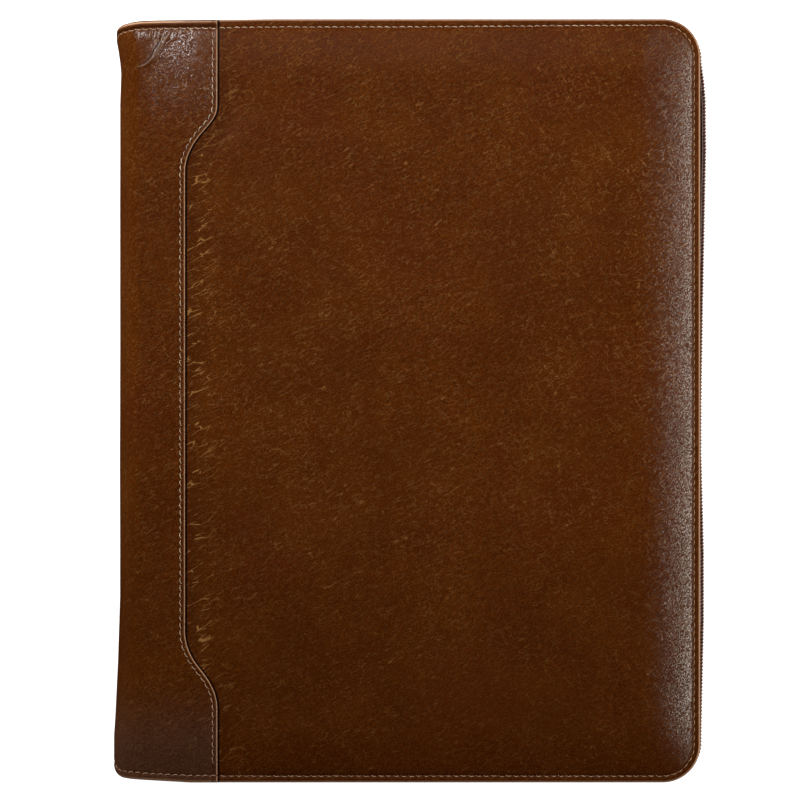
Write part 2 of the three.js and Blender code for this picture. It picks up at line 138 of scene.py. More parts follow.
# Folds and creases in the spine panel's top corner: half width as a share of the panel's wide part,
# height as a share of its wall, and the places they run through as (from spine, from top), which
# are shares of the wide part
CORNER_FOLDS = [
    (0.12, 0.16, [(0.55, 0.07), (0.31, 0.43)]),
    (0.1, 0.1, [(0.30, 0.10), (0.19, 0.34)]),
    (0.021, 0.36, [(0.47, 0.09), (0.435, 0.18), (0.42, 0.225), (0.36, 0.31), (0.315, 0.405)]),
    (0.025, 0.38, [(0.525, 0.09), (0.485, 0.17), (0.415, 0.27), (0.337, 0.385), (0.27, 0.45), (0.2, 0.475)]),
    (0.017, 0.14, [(0.57, 0.175), (0.5, 0.225), (0.44, 0.285)]),
    (0.02, 0.16, [(0.265, 0.12), (0.285, 0.2)]),
    (0.019, 0.22, [(0.318, 0.1), (0.3, 0.2)]),
    (0.021, 0.28, [(0.372, 0.1), (0.352, 0.2)]),
    (0.018, 0.22, [(0.415, 0.1), (0.398, 0.165)]),
    (0.018, 0.12, [(0.59, 0.1), (0.575, 0.17)]),
    (0.016, 0.1, [(0.64, 0.1), (0.63, 0.15)]),
    (0.016, 0.1, [(0.42, 0.33), (0.36, 0.41), (0.31, 0.435)]),
    (0.016, 0.09, [(0.47, 0.31), (0.43, 0.38)]),
]
# The share of half a wave that a fold's ends are cut short by
FOLD_FADE = 0.12
# Folds narrower than this have a painted highlight on their crest and a painted shade line beside it, at full
# strength from this height on
SHARP_FOLD = 0.05
STRONG_FOLD = 0.3

# The polish everywhere, and small polished spots near the spine panel's ends: distance from the
# spine, half width, distance from the end, half height
LEAST_POLISH = 0.01
POLISHED_SPOTS = [(11 * MM, 4.5 * MM, 5.6 * MM, 2.2 * MM), (22.5 * MM, 3 * MM, 8 * MM, 4 * MM)]

# Mesh fineness
GRID = 1.6 * MM
TAPE_GRID = 2.4 * MM
COIL_GRID = 1 * MM
# Rows across the spine panel's folds, and how far past the close rows at its end they reach
FOLD_GRID = 0.4 * MM
FOLD_REACH = 18 * MM
CORNER_STEPS = 24
ROLL_STEPS = 30
TUBE_SIDES = 5
THREAD_STATIONS = 9
COIL_STEPS = 14

# The runs of a route round the three closed sides
END, CORNER, SIDE = range(3)
UP = np.array([0.0, 0.0, 1.0])
# The unevenness of the sewing, the same at each run of the script
HAND = np.random.default_rng(5)


def smoothstep(x, low, high):
    t = np.clip((x - low) / (high - low), 0, 1)
    return t * t * (3 - 2 * t)


def bell(x, middle, width):
    """1 at the middle, fading on both sides."""
    return np.exp(-(((x - middle) / width) ** 2))


def unit(vectors):
    return vectors / np.linalg.norm(vectors, axis=-1, keepdims=True)


def end_inset(y):
    """How far a place is from the nearer end of the case."""
    return HALF_HEIGHT - np.abs(y)


def table_value(rows, place, column=1):
    return np.interp(place, [row[0] for row in rows], [row[column] for row in rows])


def soft_noise(x, y, size, seed):
    """Smooth noise from -1 to 1 with hills about size apart."""
    flat = [
        noise.noise(Vector((a / size, b / size, seed)))
        for a, b in zip(np.ravel(x).tolist(), np.ravel(y).tolist())
    ]
    return np.reshape(flat, np.shape(x))


# The shapes of the case, for arrays of places

def wrap_reach(y):
    """The distance from the spine face to the spine panel's edge."""
    step = [np.where(y > 0, top, bottom) for top, bottom in zip(*WRAP_STEP)]
    wide_bend, wide_ease, narrow_bend, narrow_ease = step
    from_end = end_inset(y) / (2 * HALF_HEIGHT)
    slope = (WRAP_WIDE - WRAP_NARROW) / (narrow_bend - wide_bend)
    past = from_end - wide_bend + wide_ease
    before = narrow_bend + narrow_ease - from_end
    return np.select(
        [past <= 0, past < 2 * wide_ease, before <= 0, before < 2 * narrow_ease],
        [
            WRAP_WIDE,
            WRAP_WIDE - slope * past**2 / (4 * wide_ease),
            WRAP_NARROW,
            WRAP_NARROW + slope * before**2 / (4 * narrow_ease),
        ],
        WRAP_WIDE - slope * (from_end - wide_bend),
    )


def wrap_slant(y):
    """How much longer a step across the case is than one square to the stepped edge."""
    step = 0.1 * MM
    slope = (wrap_reach(y + step) - wrap_reach(y - step)) / (2 * step)
    return np.sqrt(1 + slope**2)


def drawn_in(x, y):
    from_spine = (x - SPINE_FACE) / SPINE_ROLL
    top = table_value(END_DROP, from_spine, 1)
    bottom = table_value(END_DROP, from_spine, 2)
    return y * (1 - SPINE_ROLL * np.where(y > 0, top, bottom) / HALF_HEIGHT)


def padding(inset):
    return 1 - (1 - np.clip((inset - RIM_WIDTH) / CROWN_WIDTH, 0, 1)) ** CROWN_POWER


def rounded_edge(inset, radius):
    off = np.clip(radius - inset, 0, radius)
    return radius - np.sqrt(radius**2 - off**2)


def cover_lift(x, y, inset):
    start = SPINE_FACE + wrap_reach(y) + PAD_GAP
    pad = smoothstep(x, start, start + PAD_RISE)
    return RIM_LIFT + padding(inset) * (BASE_RISE + PAD_STEP * pad)


def wrap_lift(y):
    return RIM_LIFT + padding(end_inset(y)) * BASE_RISE + CLEARANCE + SPINE_WALL


def beside_line(points, place):
    """For places beside a line: how far off they are, their share along it, and on which side."""
    lengths = lengths_along(points)
    near = np.full(place.shape[:-1], np.inf)
    share, left = np.zeros((2, *near.shape))
    for number in range(1, len(points)):
        along = points[number] - points[number - 1]
        from_point = place - points[number - 1]
        part = np.clip(from_point @ along / (along @ along), 0, 1)
        off = np.linalg.norm(from_point - part[..., None] * along, axis=-1)
        at = (lengths[number - 1] + part * np.linalg.norm(along)) / lengths[-1]
        turned = along[0] * from_point[..., 1] - along[1] * from_point[..., 0]
        share = np.where(off < near, at, share)
        left = np.where(off < near, np.sign(turned), left)
        near = np.minimum(off, near)
    return near, share, left


def fold_marks(x, y):
    """The lift of the corner folds, and from 0 to 1 their crests, for painted highlights, and the painted
    shade lines beside them.
    """
    place = np.stack([x - SPINE_FACE, HALF_HEIGHT - y], -1)
    lift, crest, lee_shade = np.zeros((3, *np.shape(x)))
    for half_width, height, through in CORNER_FOLDS:
        near, share, left = beside_line(np.array(through) * WRAP_WIDE, place)
        half = half_width * WRAP_WIDE
        swell = np.sin(math.pi * (FOLD_FADE + (1 - 2 * FOLD_FADE) * share))
        lift += height * SPINE_WALL * np.maximum(1 - (near / half) ** 2, 0) ** 2 * swell
        if half_width < SHARP_FOLD:
            strength = swell * min(height / STRONG_FOLD, 1)
            crest = np.maximum(crest, strength * bell(near, 0, 0.24 * half))
            lee_shade = np.maximum(lee_shade, strength * bell(near * left, 0.8 * half, 0.4 * half))
    return lift, crest, lee_shade


def seam_groove(inset, line, depth=0.3 * MM, width=0.55 * MM):
    return -depth * bell(inset, line, width)


def seam_drift(x, y):
    """How much further in the rim seam runs on the top side, most near the spine."""
    at_top = smoothstep(y, 0.86 * HALF_HEIGHT, 0.93 * HALF_HEIGHT)
    return SEAM_DRIFT * at_top * (1 - smoothstep(x, -20 * MM, 110 * MM))


def placed(x, y, lift):
    """Places at a lift from the case's middle plane."""
    return np.stack([x, drawn_in(x, y), MIDDLE + lift], -1)


def corner_radius(inset):
    outside = CORNER_RADIUS - inset
    inside = (CORNER_RADIUS - RIM_WIDTH) * (1 - (inset - RIM_WIDTH) / CROWN_WIDTH)
    return np.where(inset < RIM_WIDTH, outside, inside)


def route_stops(start_x, spacing):
    """The three closed sides from the spine's top end to its bottom end: (run, sign, share)."""
    field_end, field_top = HALF_WIDTH - CROWN_INSET, HALF_HEIGHT - CROWN_INSET
    ends = np.linspace(0, 1, round((field_end - start_x) / spacing) + 1)
    sides = np.linspace(0, 1, round(2 * field_top / spacing) + 1)
    turns = np.arange(1, CORNER_STEPS) / CORNER_STEPS
    return np.array(
        [(END, 1, share) for share in ends]
        + [(CORNER, 1, share) for share in turns[::-1]]
        + [(SIDE, 0, share) for share in sides]
        + [(CORNER, -1, share) for share in turns]
        + [(END, -1, share) for share in ends[::-1]]
    )


def route_points(stops, inset, start_x):
    run, sign, share = stops.T
    radius = corner_radius(inset)
    right, end = HALF_WIDTH - inset, HALF_HEIGHT - inset
    turn = share * math.pi / 2
    x = np.select(
        [run == END, run == CORNER],
        [start_x + (right - radius - start_x) * share, right - radius + radius * np.cos(turn)],
        right,
    )
    y = np.select(
        [run == END, run == CORNER],
        [sign * end, sign * (end - radius + radius * np.sin(turn))],
        (end - radius) * (1 - 2 * share),
    )
    return x, y


def lengths_along(points):
    steps = np.linalg.norm(np.diff(points, axis=0), axis=1)
    return np.concatenate([[0], np.cumsum(steps)])


def at_lengths(at, lengths, values):
    """The values of a line's points, taken at lengths along the line."""
    return np.stack([np.interp(at, lengths, values[:, i]) for i in range(3)], -1)


def direction(at, lengths, line, reach):
    """The line's unit direction at lengths along it, over a reach to both sides."""
    return unit(at_lengths(at + reach, lengths, line) - at_lengths(at - reach, lengths, line))


def zip_inset(stops):
    """The inset of the coil's middle at each stop."""
    run, sign, share = stops.T
    side_start = HALF_HEIGHT - CORNER_RADIUS

    def swing(y):
        at = (HALF_HEIGHT - y) / (2 * HALF_HEIGHT)
        return COIL_THICK / 2 - ZIP_BULGE * table_value(ZIP_SWING, at)

    at_corner = swing(sign * side_start)
    corner = at_corner + (ZIP_RECESS - at_corner) * smoothstep(share, 0, 1)
    side = swing(side_start * (1 - 2 * share))
    return np.select([run == END, run == CORNER], [ZIP_RECESS, corner], side)


# Mesh building

def closed_wall(patches):
    """The outer places and the faces of a closed wall, whose inner places follow the outer ones.
    The first two columns of a patch tell its places apart."""
    flat = np.concatenate([patch.reshape(-1, patch.shape[-1]) for patch in patches])
    keys = np.round(flat[:, :2] / SAME_PLACE)
    _, first, number = np.unique(keys, axis=0, return_index=True, return_inverse=True)
    number = number.reshape(-1)
    quads, start = [], 0
    for patch in patches:
        rows, columns = patch.shape[:2]
        ids = number[start : start + rows * columns].reshape(rows, columns)
        start += rows * columns
        corners = [ids[:-1, :-1], ids[1:, :-1], ids[1:, 1:], ids[:-1, 1:]]
        quads.append(np.stack(corners, -1).reshape(-1, 4))
    quads = np.concatenate(quads)
    edges = np.concatenate([quads[:, [i, (i + 1) % 4]] for i in range(4)])
    edges = edges[edges[:, 0] != edges[:, 1]]
    count = len(first)
    forward, backward = edges @ [count, 1], edges @ [1, count]
    open_edges = edges[~np.isin(forward, backward)].tolist()
    outer = [list(dict.fromkeys(quad)) for quad in quads.tolist()]
    outer = [face for face in outer if len(face) > 2]
    inner = [[i + count for i in reversed(face)] for face in outer]
    sides = [[b, a, a + count, b + count] for a, b in open_edges]
    return flat[first], outer + inner + sides


def make_piece(name, vertices, faces, material, slot, attributes=None, sharp=40):
    """A closed mesh object with smooth shading, attached to the root body."""
    mesh = bpy.data.meshes.new(name)
    mesh.from_pydata(np.asarray(vertices, float).tolist(), [], faces)
    work = bmesh.new()
    work.from_mesh(mesh)
    bmesh.ops.recalc_face_normals(work, faces=work.faces)
    work.to_mesh(mesh)
    work.free()
    for key, values in (attributes or {}).items():
        layer = mesh.attributes.new(key, "FLOAT", "POINT")
        layer.data.foreach_set("value", np.ascontiguousarray(values, np.float32))
    mesh.shade_smooth()
    mesh.set_sharp_from_angle(angle=math.radians(sharp))
    piece = bpy.data.objects.new(name, mesh)
    bpy.context.scene.collection.objects.link(piece)
    mesh.materials.append(material)
    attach(piece, "root")
    return piece


def wall_piece(name, node_name, outer, inner, faces, material, slot, attributes):
    """A closed wall's mesh object in place of a node, with attributes of its outer places."""
    doubled = {key: np.tile(values, 2) for key, values in attributes.items()}
    piece = make_piece(name, np.concatenate([outer, inner]), faces, material, slot, doubled)
    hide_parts(node_name)
    return piece


def tubes(centres, across, out, radii):
    """Tubes with capped ends: centres (tubes, stations, 3), across and out the section's two
    directions at each station, radii (tubes, stations). Returns vertices and faces."""
    count, stations, _ = centres.shape
    angles = (np.arange(TUBE_SIDES) * 2 * math.pi / TUBE_SIDES)[:, None]
    ring = across[:, :, None] * np.cos(angles) + out[:, :, None] * np.sin(angles)
    vertices = centres[:, :, None] + ring * radii[:, :, None, None]
    ids = np.arange(count * stations * TUBE_SIDES).reshape(count, stations, TUBE_SIDES)
    after = np.roll(ids, -1, axis=2)
    sides = np.stack([ids[:, :-1], after[:, :-1], after[:, 1:], ids[:, 1:]], -1)
    caps = np.concatenate([ids[:, 0, ::-1], ids[:, -1]])
    return vertices.reshape(-1, 3), sides.reshape(-1, 4).tolist() + caps.tolist()


def joined(parts):
    """One mesh from several (vertices, faces)."""
    vertices, faces, start = [], [], 0
    for some, rings in parts:
        vertices.append(some)
        faces += [[i + start for i in face] for face in rings]
        start += len(some)
    return np.concatenate(vertices), faces


# Node helpers

def plug(tree, made, inputs):
    """Sets a node's inputs, each to a value or to another node's output."""
    for key, value in inputs.items():
        if isinstance(value, bpy.types.NodeSocket):
            tree.links.new(value, made.inputs[key])
        else:
            made.inputs[key].default_value = value


def node(tree, kind, inputs=None, **settings):
    made = tree.nodes.new("ShaderNode" + kind)
    for key, value in settings.items():
        setattr(made, key, value)
    plug(tree, made, inputs or {})
    return made


def maths(tree, operation, *values, clamp=False):
    inputs = dict(enumerate(values))
    return node(tree, "Math", inputs, operation=operation, use_clamp=clamp).outputs[0]


def product(tree, first, *others):
    for other in others:
        first = maths(tree, "MULTIPLY", first, other)
    return first


def mapped(tree, value, low, high, to_low=0.0, to_high=1.0, smooth=True):
    inputs = {"Value": value, "From Min": low, "From Max": high, "To Min": to_low, "To Max": to_high}
    kind = "SMOOTHSTEP" if smooth else "LINEAR"
    return node(tree, "MapRange", inputs, interpolation_type=kind).outputs["Result"]


def mixed(tree, factor, first, second, blend="MIX"):
    inputs = {0: factor, 6: first, 7: second}
    return node(tree, "Mix", inputs, data_type="RGBA", blend_type=blend).outputs[2]


def attribute(tree, name):
    return node(tree, "Attribute", attribute_name=name).outputs["Fac"]


def new_material(name):
    """A material, its node tree and surface, and the place on the piece, whole and as x and y."""
    material = bpy.data.materials.new(name)
    material.use_nodes = True
    tree = material.node_tree
    tree.nodes.clear()
    surface = node(tree, "BsdfPrincipled")
    node(tree, "OutputMaterial", {"Surface": surface.outputs[0]})
    place = node(tree, "TexCoord").outputs["Object"]
    x, y, _ = node(tree, "SeparateXYZ", {0: place}).outputs
    return material, tree, surface, place, x, y


def bumped(tree, height, distance, strength=1.0):
    inputs = {"Height": height, "Strength": strength, "Distance": distance}
    return node(tree, "Bump", inputs).outputs[0]


def colour(red, green, blue):
    return (red, green, blue, 1.0)


def noise_of(tree, place, scale, detail=2.0, roughness=0.5):
    inputs = {"Vector": place, "Scale": scale, "Detail": detail, "Roughness": roughness}
    return node(tree, "TexNoise", inputs).outputs["Fac"]


def stretched(tree, place, angle, length, width):
    """Coordinates whose cells lie along an angle in the cover's plane, of that size in metres."""
    inputs = {
        "Vector": place,
        "Rotation": (0, 0, math.radians(angle)),
        "Scale": (length, width, width),
    }
    return node(tree, "Mapping", inputs, vector_type="TEXTURE").outputs[0]


def patchy(tree, place, angle, length, width, low, high, detail=1.0):
    """A mask of patches that lie along an angle. Low and high are the noise's levels for 0 and 1."""
    patches = noise_of(tree, stretched(tree, place, angle, length, width), 1.0, detail)
    return mapped(tree, patches, low, high)


def crease_net(tree, place, angle, length, width, reach):
    """Lines between cells that lie along an angle."""
    inputs = {"Vector": stretched(tree, place, angle, length, width), "Scale": 1.0}
    cells = node(tree, "TexVoronoi", inputs, feature="DISTANCE_TO_EDGE")
    return mapped(tree, cells.outputs["Distance"], 0.0, reach, 1.0, 0.0)


def streaks(tree, place, angle):
    """Long wavy wrinkles along an angle: the level lines of a noise."""
    level = noise_of(tree, stretched(tree, place, angle, 8 * MM, 1.9 * MM), 1.0, 1.0)
    far = maths(tree, "PINGPONG", product(tree, level, 2.8), 0.5)
    return mapped(tree, far, 0.0, 0.075, 1.0, 0.0)


def swayed(tree, place, size, reach):
    """The place moved about by a noise of that size, by up to about half the reach."""
    sway = node(tree, "TexNoise", {"Vector": place, "Scale": 1 / size, "Detail": 1.0}).outputs["Color"]
    sway = node(tree, "VectorMath", {0: sway, 1: (0.5, 0.5, 0.5)}, operation="SUBTRACT").outputs[0]
    sway = node(tree, "VectorMath", {0: sway, "Scale": reach}, operation="SCALE").outputs[0]
    return node(tree, "VectorMath", {0: place, 1: sway}, operation="ADD").outputs[0]


def seam_marks(tree, along, inset, line):
    """Masks of a seam from two attributes: its needle holes, painted as dark shade, and the pulled leather
    round it.
    """
    share = maths(tree, "DIVIDE", attribute(tree, along), STITCH_PITCH)
    off_along = product(tree, maths(tree, "PINGPONG", share, 0.5), STITCH_PITCH)
    off_line = maths(tree, "SUBTRACT", attribute(tree, inset), line)
    squares = maths(tree, "ADD", maths(tree, "POWER", off_along, 2.0), maths(tree, "POWER", off_line, 2.0))
    holes = mapped(tree, maths(tree, "SQRT", squares), 0.12 * MM, 0.42 * MM, 0.85, 0.0)
    pulled = mapped(tree, maths(tree, "ABSOLUTE", off_line), 0.2 * MM, 1.1 * MM, 1.0, 0.0)
    return holes, pulled


# Materials

LEATHER_DARK = colour(0.0255, 0.0055, 0.0004)
LEATHER_LIGHT = colour(0.0310, 0.0073, 0.0005)
LEATHER_RED = colour(0.028, 0.0052, 0.0007)
# Partly worn tone, mostly a painted highlight on wrinkle ridges, puckers and fold crests
LEATHER_WORN_AND_HIGHLIGHT = colour(0.2, 0.1, 0.03)
# Painted sheen: a dull grey reflection painted on the spine panel near its bottom end
LEATHER_PAINTED_SHEEN = colour(0.027, 0.0145, 0.0095)
# The raw cut edge's lighter colour, also used for painted highlight lines along the rims and on fold crests
CUT_EDGE_AND_HIGHLIGHT = colour(0.36, 0.215, 0.135)
# Painted shade: the dark in needle holes, in the crease by the spine panel's edge and beside fold crests
PAINTED_SHADE = colour(0.003, 0.0008, 0.0003)
# Each leather's coat roughness, painted sheen near the bottom, and grain's glints: the noise's two
# levels and the share of the polish at each
COVER_LOOK = {"coat_roughness": 0.25, "painted_sheen": 0.0, "glint": (0.43, 0.58, 0.05, 1.3)}
WRAP_LOOK = {"coat_roughness": 0.2, "painted_sheen": 0.5, "glint": (0.48, 0.6, 0.0, 1.9)}
# The painted shadow in the crease beside the spine panel's edge: how far from it
EDGE_CREASE = 0.45 * MM


def weighted(tree, *terms):
    """The sum of (value, weight) terms."""
    total = 0.0
    for value, weight in terms:
        total = maths(tree, "MULTIPLY_ADD", value, weight, total)
    return total


def slanted_lines(tree, place, mask_place, angle, length, width):
    """A net of fine broken creases along an angle, with its cells' length and width."""
    lines = crease_net(tree, place, angle, length, width, 0.045)
    return product(tree, lines, patchy(tree, mask_place, angle, length * 0.6, width, 0.44, 0.62))


def leather_wrinkles(tree, place, x, y):
    """The leather's wrinkles: long ones, the sharpest of them, the fine net, and the puckers that
    the spine panel's seam pulls into the cover."""
    bent = swayed(tree, place, 7 * MM, 1.4 * MM)
    lines = mixed(tree, mapped(tree, x, 0.0, 80 * MM), streaks(tree, bent, 32), streaks(tree, bent, -58))
    lines = product(tree, lines, patchy(tree, place, 30, 3.8 * MM, 1.7 * MM, 0.43, 0.58))
    level = slanted_lines(tree, bent, place, 20, 5.6 * MM, 1.8 * MM)
    steep = slanted_lines(tree, bent, place, 44, 4.2 * MM, 1.5 * MM)
    patches = mapped(tree, noise_of(tree, place, 34.0, 3.0), 0.38, 0.62, 0.6, 1.0)
    patches = product(tree, patches, mapped(tree, y, -150 * MM, 20 * MM, 0.5, 1.0))
    sharp = product(tree, patchy(tree, place, 36, 12 * MM, 6 * MM, 0.62, 0.70, 2.0), lines)
    lines = product(tree, lines, patches)
    net = product(tree, maths(tree, "MAXIMUM", steep, level), patches)
    near_wrap = mapped(tree, attribute(tree, "from_wrap"), 3 * MM, 19 * MM, 1.0, 0.0)
    puckers = product(
        tree,
        crease_net(tree, bent, 28, 11 * MM, 2.5 * MM, 0.065),
        patchy(tree, place, 28, 8 * MM, 2.8 * MM, 0.5, 0.6),
        near_wrap,
        attribute(tree, "tight"),
    )
    return lines, sharp, net, puckers


def leather(name, seams, coat_roughness, painted_sheen, glint):
    """Polished saddle leather: grain, wrinkles, partly worn and mostly painted highlights, raw edges, painted
    sheen and painted shade, and the marks of its seams.
    """
    material, tree, surface, place, x, y = new_material(name)
    lines, sharp, net, puckers = leather_wrinkles(tree, place, x, y)
    dust = noise_of(tree, place, 1800.0, 1.0)
    soft = noise_of(tree, place, 420.0, 1.0)
    height = weighted(tree, (dust, 0.12), (soft, 0.06), (lines, 0.06), (sharp, 0.05), (net, 0.05),
                      (puckers, 0.1))

    mottle = mapped(tree, noise_of(tree, place, 30.0, 5.0, 0.6), 0.35, 0.68)
    red = mapped(tree, noise_of(tree, place, 21.0, 3.0), 0.5, 0.7, 0.0, 0.4)
    # Painted sheen towards the bottom end
    low_painted_sheen = mapped(tree, y, -158 * MM, -124 * MM, painted_sheen, 0.0)
    base = LEATHER_DARK
    for mask, tone in ((mottle, LEATHER_LIGHT), (red, LEATHER_RED), (low_painted_sheen, LEATHER_PAINTED_SHEEN)):
        base = mixed(tree, mask, base, tone)
    fleck = mapped(tree, dust, 0.35, 0.65, 0.64, 1.36, smooth=False)
    # Painted shade: the leather darker towards the bottom, where the light falls off
    fleck = product(tree, fleck, mapped(tree, y, -165 * MM, 0.0, 0.78, 1.0))
    fleck = node(tree, "CombineColor", {0: fleck, 1: fleck, 2: fleck}).outputs[0]
    base = mixed(tree, 1.0, base, fleck, "MULTIPLY")
    wear = attribute(tree, "wear")
    # Painted highlights: wrinkles, puckers and fold crests lightened as if catching the light, partly worn
    # tone
    worn_and_highlit = weighted(tree, (lines, 0.19), (sharp, 0.16), (net, 0.19), (puckers, 0.55), (wear, 0.3))
    # Painted shadow in the crease beside the spine panel's edge, together with the painted shade attribute
    off_crease = maths(tree, "SUBTRACT", attribute(tree, "from_wrap"), EDGE_CREASE)
    crease_shadow = mapped(tree, maths(tree, "ABSOLUTE", off_crease), 0.3 * MM, 0.85 * MM, 0.97, 0.0)
    painted_dark = maths(tree, "MAXIMUM", crease_shadow, attribute(tree, "shade"))
    marks = [(worn_and_highlit, LEATHER_WORN_AND_HIGHLIGHT), (attribute(tree, "cut"), CUT_EDGE_AND_HIGHLIGHT), (painted_dark, PAINTED_SHADE)]
    for seam in seams:
        holes, pulled = seam_marks(tree, *seam)
        marks += [(product(tree, pulled, 0.45), LEATHER_DARK), (holes, PAINTED_SHADE)]
        height = weighted(tree, (height, 1.0), (holes, -0.25))
    for mask, tone in marks:
        base = mixed(tree, mask, base, tone)

    grain = noise_of(tree, stretched(tree, place, 48, 0.85 * MM, 0.55 * MM), 1.0, 1.0)
    shine = product(tree, attribute(tree, "polish"), mapped(tree, grain, *glint, smooth=False))
    bump = bumped(tree, height, MM)
    plug(tree, surface, {
        "Base Color": base,
        "Roughness": mapped(tree, noise_of(tree, place, 45.0, 3.0), 0.3, 0.7, 0.33, 0.40, smooth=False),
        "Normal": bump,
        "Coat Normal": bump,
        "Coat Weight": maths(tree, "MULTIPLY_ADD", wear, 4.0, shine, clamp=True),
        "Coat Roughness": coat_roughness,
        "Specular IOR Level": 0.014,
    })
    return material


def thread():
    """Beige thread, with painted shade towards the bottom, near the spine and at the right."""
    material, tree, surface, place, x, y = new_material("thread")
    shade = mapped(tree, noise_of(tree, place, 800.0, 2.0), 0.3, 0.7)
    base = mixed(tree, shade, colour(0.11, 0.07, 0.045), colour(0.26, 0.19, 0.135))
    # Painted shade: the thread darker towards the bottom and near the spine
    thread_shade = maths(tree, "MAXIMUM", mapped(tree, y, -170 * MM, -60 * MM, 0.8, 0.0),
                   mapped(tree, x, -120 * MM, -108 * MM, 0.8, 0.0))
    base = mixed(tree, thread_shade, base, colour(0.15, 0.082, 0.045))
    right_shade = mapped(tree, x, HALF_WIDTH - 24 * MM, HALF_WIDTH - 6 * MM, 0.0, 0.8)
    base = mixed(tree, right_shade, base, colour(0.14, 0.078, 0.034))
    fuzz = bumped(tree, noise_of(tree, place, 5200.0, 2.0), 0.05 * MM, 0.6)
    plug(tree, surface, {"Base Color": base, "Normal": fuzz, "Roughness": 0.62})
    return material


def tape_weave():
    material, tree, surface, place, *_ = new_material("tape_weave")
    ribs = node(tree, "TexWave", {"Vector": place, "Scale": 700.0, "Distortion": 1.2}, bands_direction="X")
    threads = node(tree, "TexWave", {"Vector": place, "Scale": 520.0, "Distortion": 1.0}, bands_direction="Z")
    weave = product(tree, ribs.outputs["Fac"], threads.outputs["Fac"])
    plug(tree, surface, {
        "Base Color": mixed(tree, weave, colour(0.003, 0.0012, 0.0009), colour(0.016, 0.006, 0.004)),
        "Normal": bumped(tree, weave, 0.12 * MM, 0.8),
        "Roughness": 0.85,
        "Specular IOR Level": 0.1,
    })
    return material


def coil_nylon():
    material, tree, surface, place, *_ = new_material("coil_nylon")
    shade = mapped(tree, noise_of(tree, place, 420.0, 2.0), 0.3, 0.7)
    plug(tree, surface, {
        "Base Color": mixed(tree, shade, colour(0.13, 0.05, 0.038), colour(0.22, 0.115, 0.092)),
        "Normal": bumped(tree, noise_of(tree, place, 3000.0), 0.03 * MM, 0.4),
        "Roughness": 0.45,
        "Specular IOR Level": 0.2,
    })
    return material


def brass():
    material, tree, surface, place, *_ = new_material("antique_brass")
    tarnish = mapped(tree, noise_of(tree, place, 260.0, 5.0, 0.65), 0.4, 0.66)
    plug(tree, surface, {
        "Base Color": mixed(tree, tarnish, colour(0.55, 0.38, 0.16), colour(0.19, 0.11, 0.045)),
        "Normal": bumped(tree, noise_of(tree, place, 1500.0, 3.0), 0.05 * MM, 0.3),
        "Roughness": mapped(tree, noise_of(tree, place, 900.0, 3.0), 0.3, 0.7, 0.24, 0.42, smooth=False),
        "Metallic": 1.0,
    })
    return material


def paper_floor():
    """White paper that shows as plain white from above."""
    material, tree, surface, place, *_ = new_material("paper_floor")
    shade = noise_of(tree, place, 3.0, 2.0)
    plug(tree, surface, {
        "Base Color": mixed(tree, shade, colour(0.3, 0.3, 0.3), colour(0.33, 0.33, 0.33)),
        "Roughness": 0.9,
        "Specular IOR Level": 0.1,
        "Emission Color": colour(1, 1, 1),
        "Emission Strength": 0.95,
    })
    return material


# The covers

def cover_insets():
    """Rings from the rim's edge to the crown, close together at the rounded edge and the seam."""
    rim = np.array([0, 0.03, 0.09, 0.18, 0.28, 0.38, 0.5, 0.64, 0.78, 0.88, 0.94, 1]) * RIM_WIDTH
    steps = 15
    crown = RIM_WIDTH + CROWN_WIDTH * (np.arange(1, steps + 1) / steps) ** 1.5
    return np.concatenate([rim, crown])


def cover_burnish_and_highlight(y, inset):
    """A painted highlight along the rim's turned edge, partly its burnished colour, fainter at both ends of
    the case.
    """
    line = bell(inset, 0.42 * MM, 0.25 * MM)
    line *= 0.5 + 0.28 * smoothstep(y, -HALF_HEIGHT, -HALF_HEIGHT + 12 * MM)
    return line * (1 - 0.5 * smoothstep(y, HALF_HEIGHT - 12 * MM, HALF_HEIGHT - 3 * MM))


def cover_polish(x, y, inset):
    """Where the cover is polished: a band down the zip side, inside its seam, faint at both ends."""
    band = 1.15 * smoothstep(x, HALF_WIDTH - 29 * MM, HALF_WIDTH - 9 * MM)
    band *= smoothstep(inset, 3.2 * MM, 4.6 * MM) * smoothstep(y, -177 * MM, -118 * MM)
    band *= 1 - 0.7 * smoothstep(y, 145 * MM, 168 * MM)
    return LEAST_POLISH + band


